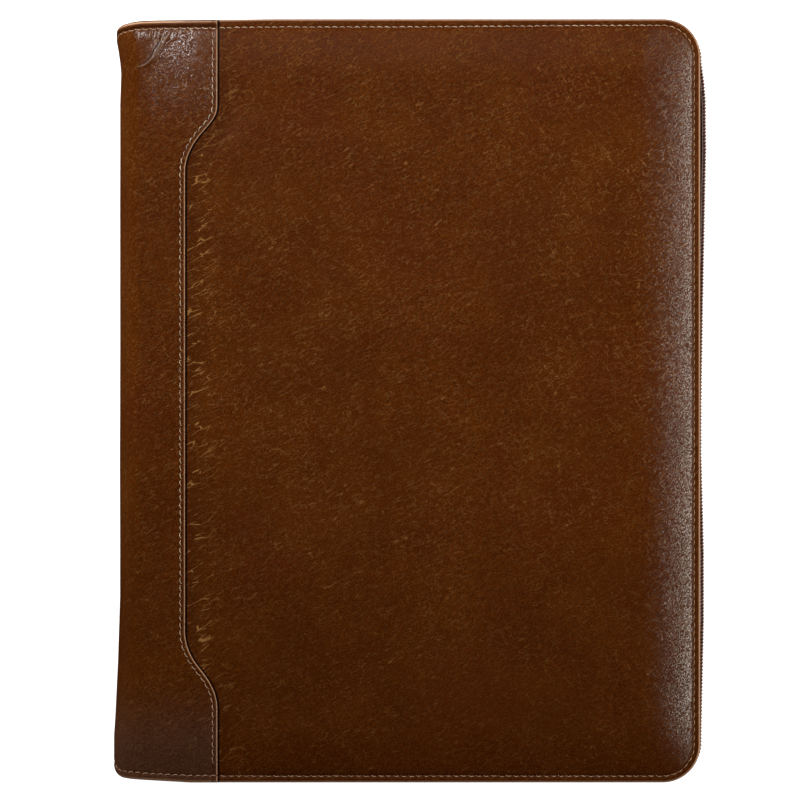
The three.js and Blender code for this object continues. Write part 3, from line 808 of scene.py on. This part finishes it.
def cover(name, node_name, side, material):
    stops = route_stops(COVER_START, GRID)
    seam = np.stack(route_points(stops, RIM_STITCH_INSET, COVER_START), -1)
    along = lengths_along(seam)
    rings = []
    for inset in cover_insets():
        x, y = route_points(stops, inset, COVER_START)
        rings.append(np.stack([x, y, np.full(len(x), inset), along], -1))
    rings = np.stack(rings)
    run, sign = stops[:, 0], stops[:, 1]
    columns = rings[-1][(run == END) & (sign > 0), 0]
    rows = rings[-1][run == SIDE, 1]
    field_x, field_y = np.meshgrid(columns, rows)
    deep = np.full(field_x.shape, CROWN_INSET)
    field = np.stack([field_x, field_y, deep, deep * 0], -1)
    places, faces = closed_wall([rings, field])
    x, y, inset, along = places.T

    from_wrap = x - SPINE_FACE - wrap_reach(y)
    bare = smoothstep(from_wrap, 1 * MM, 10 * MM) * smoothstep(inset, RIM_WIDTH, 14 * MM)
    waves = 0.22 * MM * soft_noise(x, y, 55 * MM, 3.1 * side)
    waves += 0.10 * MM * soft_noise(x, y, 21 * MM, 8.7 * side)
    lift = cover_lift(x, y, inset)
    outer = lift - rounded_edge(inset, RIM_ROUND) + (waves - 0.2 * MM) * bare
    seam_inset = inset - seam_drift(x, y)
    outer += seam_groove(seam_inset, RIM_STITCH_INSET) * smoothstep(from_wrap, -2 * MM, 0)
    if side < 0:
        outer = np.minimum(outer, CROWN_LIFT)
    inner = lift - COVER_WALL + rounded_edge(inset, RIM_UNDER_ROUND)
    narrow = smoothstep(wrap_reach(y), WRAP_WIDE, WRAP_NARROW)
    attributes = {
        "seam_along": along,
        "seam_inset": seam_inset,
        "wear": np.zeros(len(x)),
        "cut": cover_burnish_and_highlight(y, inset),
        "polish": cover_polish(x, y, inset),
        "from_wrap": from_wrap,
        "tight": 0.3 + 0.7 * narrow,
        "shade": np.zeros(len(x)),
    }
    walls = [placed(x, y, side * level) for level in (outer, inner)]
    piece = wall_piece(name, node_name, *walls, faces, material, "cover_leather", attributes)


# The spine panel

def wrap_columns():
    """Columns across the spine panel: (side, distance from the edge, share of the rest, turn)."""
    near = np.array([0, 0.1, 0.28, 0.55, 0.9, 1.25, 1.6, 2.0, 2.4, 2.75, 3.2, 3.8, 4.6]) * MM
    shares = np.concatenate([np.linspace(0, 0.4, 14)[1:], np.linspace(0.4, 1, 46)[1:-1]])
    front = [(1, edge, 0, 0) for edge in near] + [(1, near[-1], share, 0) for share in shares]
    roll = [(0, 0, 1, turn) for turn in np.linspace(0, 1, ROLL_STEPS + 1)]
    back = [(-1, near[-1], share, 0) for share in np.linspace(1, 0, 16)[1:-1]]
    back += [(-1, edge, 0, 0) for edge in near[::-1]]
    return np.array(front + roll + back)


def wrap_rows():
    near = np.array([0, 0.08, 0.22, 0.45, 0.8, 1.3, 1.8, 2.2, 2.6, 3.0, 3.4, 3.8, 4.4, 5.2, 6.4]) * MM
    top = HALF_HEIGHT - near
    folded = np.arange(top[-1] - FOLD_GRID, top[-1] - FOLD_REACH, -FOLD_GRID)
    between = np.linspace(folded[-1], -top[-1], round((folded[-1] + top[-1]) / GRID) + 1)[1:-1]
    return np.concatenate([top, folded, between, -top[::-1]])


def edge_inset(side, edge, share):
    """The distance from the stepped edge beside it, and a far 1 m everywhere else."""
    return np.where((side != 0) & (share == 0), edge, 1.0)


def wrap_surface(side, edge, share, turn, y, depth):
    """A point of the spine panel at a depth under its outer face, its folds' crests for painted highlights
    and their painted shade lines.
    """
    reach = SPINE_FACE + wrap_reach(y)
    from_edge = reach - edge * wrap_slant(y)
    wing_x = from_edge + (COVER_START - from_edge) * share
    flare = SPINE_ROLL * table_value(SPINE_FLARE, (HALF_HEIGHT - y) / (2 * HALF_HEIGHT))
    angle = math.pi * turn
    out_x = COVER_START - (SPINE_ROLL + flare) * np.sin(angle)
    shown_x = np.where(side == 0, out_x, wing_x)
    fold, crest, lee_shade = fold_marks(shown_x, y)
    front = np.where(side < 0, 0, np.clip(np.cos(angle), 0, 1))
    inset = end_inset(y)
    soft = np.where(depth > 0, 0, 1)
    from_cut = edge_inset(side, edge, share)
    shaved = rounded_edge(inset, WRAP_ROUND) + rounded_edge(from_cut, CUT_ROUND)
    grooves = seam_groove(inset - SEAM_DRIFT * (y > 0), RIM_STITCH_INSET, 0.22 * MM)
    grooves += seam_groove(from_cut, EDGE_STITCH_INSET, 0.22 * MM, 0.5 * MM)
    waves = 0.14 * MM * soft_noise(shown_x + turn * 0.03, y, 26 * MM, 5.5)
    waves *= smoothstep(inset, 2 * MM, 14 * MM) * smoothstep(reach - wing_x, 3 * MM, 9 * MM)
    relief = soft * (grooves - shaved + np.where(side < 0, 0, waves))
    lift = wrap_lift(y) + fold * front - depth + relief
    roll_x = COVER_START - (SPINE_ROLL + flare - depth + relief) * np.sin(angle)
    x = np.where(side == 0, roll_x, wing_x)
    z = MIDDLE + np.where(side == 0, lift * np.cos(angle), side * lift)
    return np.stack([x, drawn_in(shown_x, y), z], -1), crest * front, lee_shade * front


def wrap_seam_lengths(rows, columns):
    """Lengths along the stepped edge's seam for rows, and along the end seams for columns."""
    x = SPINE_FACE + wrap_reach(rows) - EDGE_STITCH_INSET * wrap_slant(rows)
    edge_line = lengths_along(np.stack([x, rows], -1))
    top = HALF_HEIGHT - RIM_STITCH_INSET
    end, _, _ = wrap_surface(*columns.T, np.full(len(columns), top), 0.0)
    return edge_line, lengths_along(end)


def wrap_polish(x, y, side, lee_shade):
    """Where the spine panel is polished: at its two ends, most round the folds at the top."""
    from_spine, inset = x - SPINE_FACE, end_inset(y)
    polish = smoothstep(np.abs(y), HALF_HEIGHT - 55 * MM, HALF_HEIGHT - 8 * MM) * (side >= 0)
    near_end = 1 - smoothstep(inset, 14 * MM, 34 * MM)
    polish *= 1 - 0.85 * near_end * smoothstep(from_spine, 27 * MM, 38 * MM)
    polish *= 1 - 0.85 * near_end * (1 - smoothstep(from_spine, 10.5 * MM, 22 * MM))
    polish *= smoothstep(from_spine, 7.5 * MM, 17 * MM)
    for across, reach, deep, high in POLISHED_SPOTS:
        spot = bell(from_spine, across, reach) * bell(inset, deep, high)
        polish = np.maximum(polish, (side >= 0) * spot)
    polish *= 1 - 0.8 * lee_shade
    beyond_seam = 1 - smoothstep(inset, 0.8 * MM, 1.3 * MM)
    polish *= np.maximum(smoothstep(inset, 3.2 * MM, 4.4 * MM), beyond_seam)
    return LEAST_POLISH + polish * np.where(y > 0, 0.95, 0.1)


def wrap_cut_and_highlight(x, y, from_cut, turn, crest):
    """Where the spine panel is light: its cut edge, partly its own colour and partly painted highlight, a
    painted highlight line along its ends, and painted highlights on the folds' crests.
    """
    raw = 0.42 - 0.42 * smoothstep(from_cut, 0.25 * MM, 0.6 * MM)
    line = np.where(y > 0, 0.85, 0.45) * MM
    burnished_highlight = bell(end_inset(y), line, 0.32 * MM) * np.clip(np.cos(math.pi * turn), 0, 1)
    past = smoothstep(x - SPINE_FACE, 22 * MM, 34 * MM)
    burnished_highlight *= np.where(y > 0, 0.8 - 0.4 * past, 0.3)
    return np.maximum(np.maximum(raw, burnished_highlight), 0.12 * crest)


def spine_wrap(material):
    columns, rows = wrap_columns(), wrap_rows()
    edge_line, end_line = wrap_seam_lengths(rows, columns)
    number, y = np.meshgrid(np.arange(len(columns)), rows)
    row_along = np.meshgrid(np.arange(len(columns)), edge_line)[1]
    patch = np.stack([number * KEY_STEP, y, row_along, end_line[number]], -1)
    places, faces = closed_wall([patch])
    number = np.round(places[:, 0] / KEY_STEP).astype(int)
    y, row_along, column_along = places[:, 1], places[:, 2], places[:, 3]
    side, edge, share, turn = columns[number].T
    outer, crest, lee_shade = wrap_surface(side, edge, share, turn, y, 0.0)
    inner, _, _ = wrap_surface(side, edge, share, turn, y, SPINE_WALL)
    x, inset = outer[:, 0], end_inset(y)
    from_cut = edge_inset(side, edge, share)
    # Painted shade in the groove above the top seam
    groove_shade = 0.75 * bell(inset, 2.7 * MM, 0.6 * MM) * (y > 0)
    attributes = {
        # Painted highlight on the fold crests, which also get more coat
        "wear": 0.22 * crest,
        "cut": wrap_cut_and_highlight(x, y, from_cut, turn, crest),
        "polish": wrap_polish(x, y, side, lee_shade),
        "from_wrap": np.ones(len(y)),
        "tight": np.zeros(len(y)),
        "shade": np.maximum(groove_shade, 0.85 * lee_shade),
        "seam_along": row_along,
        "seam_inset": from_cut,
        "end_along": column_along,
        "end_inset": inset - SEAM_DRIFT * (y > 0),
    }
    wall_piece("spine_wrap", "spine_panel", outer, inner, faces, material, "spine_leather", attributes)


# Stitches

def stitch_row(line, normals, lean, first_hole=0.0):
    """One row of two-ply stitches along a line on a surface. lean turns them across the seam."""
    lengths = lengths_along(line)
    count = int((lengths[-1] - first_hole) / STITCH_PITCH)
    starts = first_hole + STITCH_PITCH * np.arange(count)
    uneven = HAND.uniform(-1, 1, (4, count, 1))
    share = np.linspace(0, 1, THREAD_STATIONS)
    at = starts[:, None] + (STITCH_PITCH - STITCH_LENGTH) / 2 + share * STITCH_LENGTH
    out = unit(at_lengths(at, lengths, normals))
    across = np.cross(out, direction(at, lengths, line, 0.1 * MM))
    arch = np.sin(math.pi * share)
    lift = ((0.36 + 0.05 * uneven[0]) * arch**0.6 - 0.22) * MM
    swing = (lean + 0.12 * uneven[1]) * (0.5 - share)
    swing = swing + (0.5 + 0.15 * uneven[2]) * np.sign(lean) * (arch - 0.5)
    swing = (swing + 0.06 * uneven[3]) * MM
    centre = at_lengths(at, lengths, line) + out * lift[..., None] + across * swing[..., None]
    radii = np.broadcast_to(THREAD_PLY * (0.72 + 0.28 * arch**0.5), at.shape)
    parts = []
    for ply in (0, math.pi):
        turn = (ply + share * THREAD_TWIST)[:, None]
        offset = across * np.cos(turn) + out * np.sin(turn)
        parts.append(tubes(centre + offset * PLY_APART, across, out, radii))
    return joined(parts)


def upward(line, side):
    return np.broadcast_to(side * UP, line.shape)


def cover_seam(side):
    """The rim seam over the cover, and the length along it where the spine panel ends."""
    stops = route_stops(COVER_START, GRID)
    inset = RIM_STITCH_INSET + seam_drift(*route_points(stops, RIM_STITCH_INSET, COVER_START))
    x, y = route_points(stops, inset, COVER_START)
    shown = x > SPINE_FACE + wrap_reach(y) - 0.2 * MM
    lift = cover_lift(x, y, inset) + seam_groove(RIM_STITCH_INSET, RIM_STITCH_INSET)
    line = placed(x, y, side * lift)
    lengths = lengths_along(line)
    first, last = lengths[shown][0], lengths[shown][-1]
    return line[lengths <= last], first


def wrap_end_seam(side, top):
    """The rim seam on the spine panel, from its edge to the middle of the spine."""
    columns = wrap_columns()
    turn = columns[:, 3]
    half = turn <= 0.5 if side > 0 else turn >= 0.5
    columns = columns[(columns[:, 0] == side) | ((columns[:, 0] == 0) & half)]
    if side < 0:
        columns = columns[::-1]
    y = np.full(len(columns), top * (HALF_HEIGHT - RIM_STITCH_INSET - SEAM_DRIFT * (top > 0)))
    line, _, _ = wrap_surface(*columns.T, y, 0.0)
    angle = math.pi * columns[:, 3]
    turned = columns[:, 0] == 0
    normals = np.stack([
        np.where(turned, -np.sin(angle), 0),
        np.zeros(len(columns)),
        np.where(turned, np.cos(angle), side),
    ], -1)
    return line, normals


def wrap_edge_seam(side):
    rows = wrap_rows()
    rows = rows[np.abs(rows) < HALF_HEIGHT - RIM_STITCH_INSET - 1.5 * MM]
    column = np.array([side, EDGE_STITCH_INSET, 0, 0])
    line, _, _ = wrap_surface(*np.tile(column[:, None], len(rows)), rows, 0.0)
    return line, upward(line, side)


def stitches(name, side, material):
    """All the stitches on one side of the case."""
    line, first = cover_seam(side)
    parts = [stitch_row(line, upward(line, side), 0.35 * side, first)]
    for top in (1, -1):
        end_line, normals = wrap_end_seam(side, top)
        parts.append(stitch_row(end_line, normals, 0.35 * side * top, 0.6 * MM))
    edge_line, normals = wrap_edge_seam(side)
    parts.append(stitch_row(edge_line, normals, -0.55 * side))
    return make_piece(name, *joined(parts), material, "thread", sharp=80)


# The zip

def zip_ceiling(x, y, inset):
    """The highest place for the zip under the cover and inside the spine's roll."""
    cover_inside = cover_lift(x, y, inset) - COVER_WALL
    into_roll = np.clip((COVER_START - x) / (SPINE_ROLL - SPINE_WALL), 0, 1)
    roll_inside = (wrap_lift(y) - SPINE_WALL) * np.sqrt(1 - into_roll**2)
    return np.where(x < COVER_START, np.minimum(cover_inside, roll_inside), cover_inside) - CLEARANCE


def tape(name, node_name, side, material):
    """A tape with one leg sewn flat under the rim and the other standing behind the coil."""
    start_x = SPINE_FACE + ZIP_END_GAP
    stops = route_stops(start_x, TAPE_GRID)
    standing = zip_inset(stops) + COIL_THICK / 2 - TAPE_WALL / 2
    sewn = np.maximum(standing, RIM_WIDTH)
    corner = TAPE_WALL * 0.7
    bottom = COIL_HEIGHT / 2 - 1 * MM

    def level(inset):
        return zip_ceiling(*route_points(stops, inset, start_x), inset)

    def face(depth):
        near = depth + corner if depth > 0 else TAPE_WALL
        flange, half_flange = sewn + TAPE_FLANGE, sewn + TAPE_FLANGE * 0.5
        under = level(sewn + TAPE_WALL)
        lines = [
            (flange, level(flange) - depth),
            (half_flange, level(half_flange) - depth),
            (sewn + near, under - depth),
            (sewn + depth, under - near),
        ]
        top_inset, top_lift = lines[-1]
        for part in (0.34, 0.67, 1):
            inset = top_inset + (standing + depth - top_inset) * part
            lines.append((inset, top_lift + (bottom - top_lift) * part))
        points = []
        for inset, lift in lines:
            points.append(placed(*route_points(stops, inset, start_x), side * lift))
        return np.stack(points, 1)

    outer, inner = face(0), face(TAPE_WALL)
    rows, columns = outer.shape[:2]
    number, line = np.meshgrid(np.arange(rows), np.arange(columns), indexing="ij")
    places, faces = closed_wall([np.stack([number, line], -1) * KEY_STEP])
    row, column = np.round(places / KEY_STEP).astype(int).T
    wall_piece(name, node_name, outer[row, column], inner[row, column], faces, material, "zip_tape", {})


def coil_route():
    """The coil's middle line, close together, up to the slider."""
    start_x = SPINE_FACE + ZIP_END_GAP + COIL_END_GAP
    stops = route_stops(start_x, COIL_GRID)
    x, y = route_points(stops, zip_inset(stops), start_x)
    line = placed(x, y, np.zeros(len(x)))
    slider_low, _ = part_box("zip_slider")
    in_slider = (y < 0) & (stops[:, 0] == END) & (x < slider_low[0] + COIL_IN_SLIDER)
    return line[~in_slider]


def along_route(line, at):
    """Places at lengths along the coil's line, with the directions ahead and outwards there."""
    lengths = lengths_along(line)
    centre = at_lengths(at, lengths, line)
    ahead = direction(at, lengths, line, 0.5 * MM)
    out = np.cross(ahead, UP)
    out *= np.where(np.sum(out * (centre - [0, 0, MIDDLE]), -1, keepdims=True) < 0, -1, 1)
    return centre, ahead, out


def coil_wire(line, side, phase):
    """One side of the coil: a flattened helix whose turns reach just past the middle. Its squared
    turns slant, and the lower side is a little thinner so that the two don't touch."""
    total = lengths_along(line)[-1]
    turn = np.arange(int(total / COIL_PITCH) * COIL_STEPS) / COIL_STEPS + phase
    angle = 2 * math.pi * turn
    slant = 0.8 * side * np.cos(angle) / (2 * math.pi)
    centre, ahead, out = along_route(line, np.clip((turn - slant) * COIL_PITCH, 0, total))
    across, rise = np.cos(angle), np.sin(angle)
    across = -np.sign(across) * np.abs(across) ** 0.7
    rise = np.sign(rise) * np.abs(rise) ** 0.5
    half_thick = COIL_THICK / 2 - WIRE_RADIUS * 0.7 - (side < 0) * 0.25 * MM
    half_high = COIL_HEIGHT / 4
    middle = side * (COIL_HEIGHT / 2 - half_high - WIRE_RADIUS * 0.6)
    path = centre + out * (half_thick * across)[:, None]
    path = path + UP * (middle + half_high * rise * side)[:, None]
    tangent = unit(np.gradient(path, axis=0))
    flat = unit(np.cross(tangent, ahead))
    sideways = np.cross(flat, tangent)
    return tubes(path[None], sideways[None], flat[None], np.full((1, len(path)), WIRE_RADIUS))


def coil_core(line, side):
    """The cord inside one side of the coil."""
    total = lengths_along(line)[-1]
    centre, _, out = along_route(line, np.linspace(0, total, int(total / COIL_GRID)))
    up = np.broadcast_to(UP, out.shape)
    path = centre + up * side * CORE_LIFT
    return tubes(path[None], out[None], up[None], np.full((1, len(path)), CORE_RADIUS))


def coil(material, cord_material):
    line = coil_route()
    wires = [coil_wire(line, 1, 0.0), coil_wire(line, -1, 0.5)]
    piece = make_piece("coil_teeth", *joined(wires), material, "zip_coil", sharp=80)
    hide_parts("zip_coil")
    cores = [coil_core(line, side) for side in (1, -1)]
    make_piece("coil_cores", *joined(cores), cord_material, "zip_tape", sharp=80)


def prism(outline, bottom, top, bevel):
    """A prism over an outline in its own XY plane, with rounded edges."""
    work = bmesh.new()
    low = [work.verts.new((x, y, bottom)) for x, y in outline]
    high = [work.verts.new((x, y, top)) for x, y in outline]
    work.faces.new(low[::-1])
    work.faces.new(high)
    count = len(outline)
    for i in range(count):
        j = (i + 1) % count
        work.faces.new([low[i], low[j], high[j], high[i]])
    sharp = [edge for edge in work.edges if edge.calc_face_angle(0) > math.radians(50)]
    bmesh.ops.bevel(work, geom=sharp, offset=bevel, segments=3, profile=0.5, affect="EDGES",
                    clamp_overlap=True)
    work.verts.index_update()
    vertices = np.array([vertex.co[:] for vertex in work.verts])
    faces = [[vertex.index for vertex in face.verts] for face in work.faces]
    work.free()
    return vertices, faces


def in_mm(points):
    return [(x * MM, y * MM) for x, y in points]


def rectangle(low_x, high_x, half_width):
    return [(low_x, -half_width), (high_x, -half_width), (high_x, half_width), (low_x, half_width)]


def slot_outline(start_x, length, width):
    """A strip with round ends, its first end's centre at start_x."""
    radius = width / 2
    far_x = start_x + length - width
    turns = np.linspace(0, math.pi, 10)
    near = [(start_x - radius * math.sin(a), radius * math.cos(a)) for a in turns]
    far = [(far_x + radius * math.sin(a), -radius * math.cos(a)) for a in turns]
    return near + far


def loop_tube(points, radius, sides=8):
    """A closed ring of wire through points in its own plane."""
    points = np.array(points)
    ahead = unit(np.roll(points, -1, axis=0) - np.roll(points, 1, axis=0))
    side = np.cross(ahead, UP)
    angles = (np.arange(sides) * 2 * math.pi / sides)[:, None]
    rings = points[:, None] + radius * (side[:, None] * np.cos(angles) + UP * np.sin(angles))
    ids = np.arange(len(points) * sides).reshape(-1, sides)
    following, beside = np.roll(ids, -1, axis=0), np.roll(ids, -1, axis=1)
    faces = np.stack([ids, beside, np.roll(beside, -1, axis=0), following], -1).reshape(-1, 4)
    return rings.reshape(-1, 3), faces.tolist()


def slider(material):
    """Slider body, bridge and pull. Their own axes: X along the zip, Y across it, Z outwards."""
    low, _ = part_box("zip_slider")
    half_length = 5.5
    gap = COIL_THICK / 2 + CLEARANCE
    top = gap + 1.2 * MM
    flank = [(-half_length, -2.6), (-4.2, -4.2), (-2.6, -4.5), (3.0, -3.7), (5.0, -3.2), (half_length, -2.6)]
    shield = in_mm(flank + [(x, -y) for x, y in flank[::-1]])
    wedge = in_mm([(-half_length, -2.6), (-2.9, -1.9), (-1.5, 0.0), (-2.9, 1.9), (-half_length, 2.6)])
    rail = [(-4.0, 3.4), (4.6, 2.6), (4.6, 3.3), (-4.0, 4.3)]
    parts = [
        prism(shield, gap, top, 0.35 * MM),
        prism(shield, -top, -gap, 0.35 * MM),
        prism(wedge, -top + 0.4 * MM, top - 0.4 * MM, 0.2 * MM),
    ]
    for flip in (1, -1):
        outline = in_mm([(x, flip * y) for x, y in rail][::flip])
        parts.append(prism(outline, gap - 0.55 * MM, gap + 0.3 * MM, 0.12 * MM))
    for x in (-2.1 * MM, 2.1 * MM):
        post = rectangle(x - 0.45 * MM, x + 0.45 * MM, 1.2 * MM)
        parts.append(prism(post, top - 0.2 * MM, top + 1.25 * MM, 0.15 * MM))
    bridge = rectangle(-2.5 * MM, 2.5 * MM, 1.2 * MM)
    parts.append(prism(bridge, top + 0.85 * MM, top + 1.4 * MM, 0.2 * MM))
    ring = [(x, y, top + 0.5 * MM) for x, y in slot_outline(2.5 * MM, 5.6 * MM, 3.6 * MM)]
    parts.append(loop_tube(ring, 0.36 * MM))
    pull = slot_outline(8.2 * MM, 14.5 * MM, 5 * MM)
    parts.append(prism(pull, top + 0.2 * MM, top + 0.95 * MM, 0.22 * MM))
    inlay = slot_outline(9.2 * MM, 10.5 * MM, 2.6 * MM)
    parts.append(prism(inlay, top + 0.8 * MM, top + 1.15 * MM, 0.15 * MM))
    vertices, faces = joined(parts)
    along, across, outwards = vertices.T
    middle_x = low[0] + half_length * MM
    edge_y = drawn_in(middle_x, ZIP_RECESS - HALF_HEIGHT)
    places = np.stack([middle_x + along, edge_y - outwards, MIDDLE + across], -1)
    piece = make_piece("slider_and_pull", places, faces, material, "zip_metal", sharp=35)
    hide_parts("zip_slider")


# Floor, light and camera

def floor():
    """White paper just under the case."""
    half, drop = 3.0, -0.25 * MM
    corners = [(-half, -half, drop), (half, -half, drop), (half, half, drop), (-half, half, drop)]
    mesh = bpy.data.meshes.new("floor")
    mesh.from_pydata(corners, [], [(0, 1, 2, 3)])
    mesh.materials.append(paper_floor())
    plane = bpy.data.objects.new("floor", mesh)
    plane.visible_glossy = False
    bpy.context.scene.collection.objects.link(plane)


def softbox(name, place, target, size, power, tint=(1, 1, 1), glossy=True):
    """A rectangular light. One that isn't glossy lights the case but isn't mirrored in it."""
    data = bpy.data.lights.new(name, "AREA")
    data.shape = "RECTANGLE"
    data.size, data.size_y = size
    data.energy = power
    data.color = tint
    lamp = bpy.data.objects.new(name, data)
    lamp.location = place
    lamp.rotation_mode = "QUATERNION"
    lamp.rotation_quaternion = (Vector(target) - Vector(place)).to_track_quat("-Z", "Y")
    lamp.visible_camera = False
    lamp.visible_glossy = glossy
    bpy.context.scene.collection.objects.link(lamp)


def lights():
    """Two soft lights that only light the case, and narrow ones that it also mirrors."""
    softbox("overhead", (0.0, 0.5, 0.555), (0.0, 0.1, 0.0), (1.2, 0.5), 5.8, glossy=False)
    softbox("left_fill", (-1.05, 0.75, 0.24), (-0.12, 0.17, 0.0), (0.8, 0.3), 34.0, glossy=False)
    softbox("right_strip", (0.62, 0.0, 0.62), (0.1, 0.0, 0.0), (1.15, 0.22), 11.0, (1.0, 0.92, 0.8))
    softbox("corner_box", (-0.06, 0.47, 0.83), (-0.11, 0.15, 0.0), (0.14, 0.14), 4.4, (1.0, 0.94, 0.87))
    softbox("roll_box", (-0.46, 0.46, 0.72), (-0.12, 0.16, 0.0), (0.16, 0.16), 4.5)
    softbox("top_strip", (0.0, 1.0, 0.38), (0.0, 0.1, 0.02), (1.4, 0.25), 1.7)


def world():
    """A dark room with a faint bright band low down on the sides that the rim mirrors."""
    made = bpy.data.worlds.new("studio")
    bpy.context.scene.world = made
    made.use_nodes = True
    tree = made.node_tree
    tree.nodes.clear()
    direction_seen = node(tree, "TexCoord").outputs["Generated"]
    x, y, z = node(tree, "SeparateXYZ", {0: direction_seen}).outputs
    low = product(tree, mapped(tree, z, 0.1, 0.5, 1.0, 0.03), mapped(tree, z, -0.05, 0.05))
    toward = mapped(tree, maths(tree, "ADD", x, y), -0.6, 1.0, 0.15, 0.5)
    inputs = {"Color": colour(1, 1, 1), "Strength": product(tree, low, toward)}
    background = node(tree, "Background", inputs)
    node(tree, "OutputWorld", {"Surface": background.outputs[0]})


def camera():
    """Straight down on the front cover, at the photograph's framing."""
    case_pixels, frame_pixels = 763.5, 800
    middle_x, middle_y = 410.0, 400.75
    pixel = 2 * HALF_HEIGHT / case_pixels
    distance, sensor = 6.0, 36.0
    data = bpy.data.cameras.new("camera")
    data.sensor_fit = "HORIZONTAL"
    data.sensor_width = sensor
    data.lens = sensor * distance / (frame_pixels * pixel)
    data.clip_end = 20
    eye = bpy.data.objects.new("camera", data)
    eye.location = (
        (frame_pixels / 2 - middle_x) * pixel,
        (middle_y - frame_pixels / 2) * pixel,
        MIDDLE + RIM_LIFT + distance,
    )
    bpy.context.scene.collection.objects.link(eye)
    bpy.context.scene.camera = eye


def main():
    rim_seam = ("seam_along", "seam_inset", RIM_STITCH_INSET)
    edge_seam = ("seam_along", "seam_inset", EDGE_STITCH_INSET)
    end_seam = ("end_along", "end_inset", RIM_STITCH_INSET)
    cover_leather = leather("cover_leather", [rim_seam], **COVER_LOOK)
    wrap_leather = leather("wrap_leather", [edge_seam, end_seam], **WRAP_LOOK)
    beige_thread = thread()
    weave = tape_weave()
    sides = (("front", 1), ("back", -1))
    for name, side in sides:
        cover(f"{name}_cover", f"{name}_panel", side, cover_leather)
    spine_wrap(wrap_leather)
    for name, side in sides:
        stitches(f"{name}_stitches", side, beige_thread)
    for name, side in sides:
        tape(f"tape_{name}", f"zip_tape_{name}", side, weave)
    coil(coil_nylon(), weave)
    slider(brass())
    floor()
    lights()
    world()
    camera()
    scene = bpy.context.scene
    scene.view_settings.view_transform = "Standard"
    scene.view_settings.look = "None"


main()
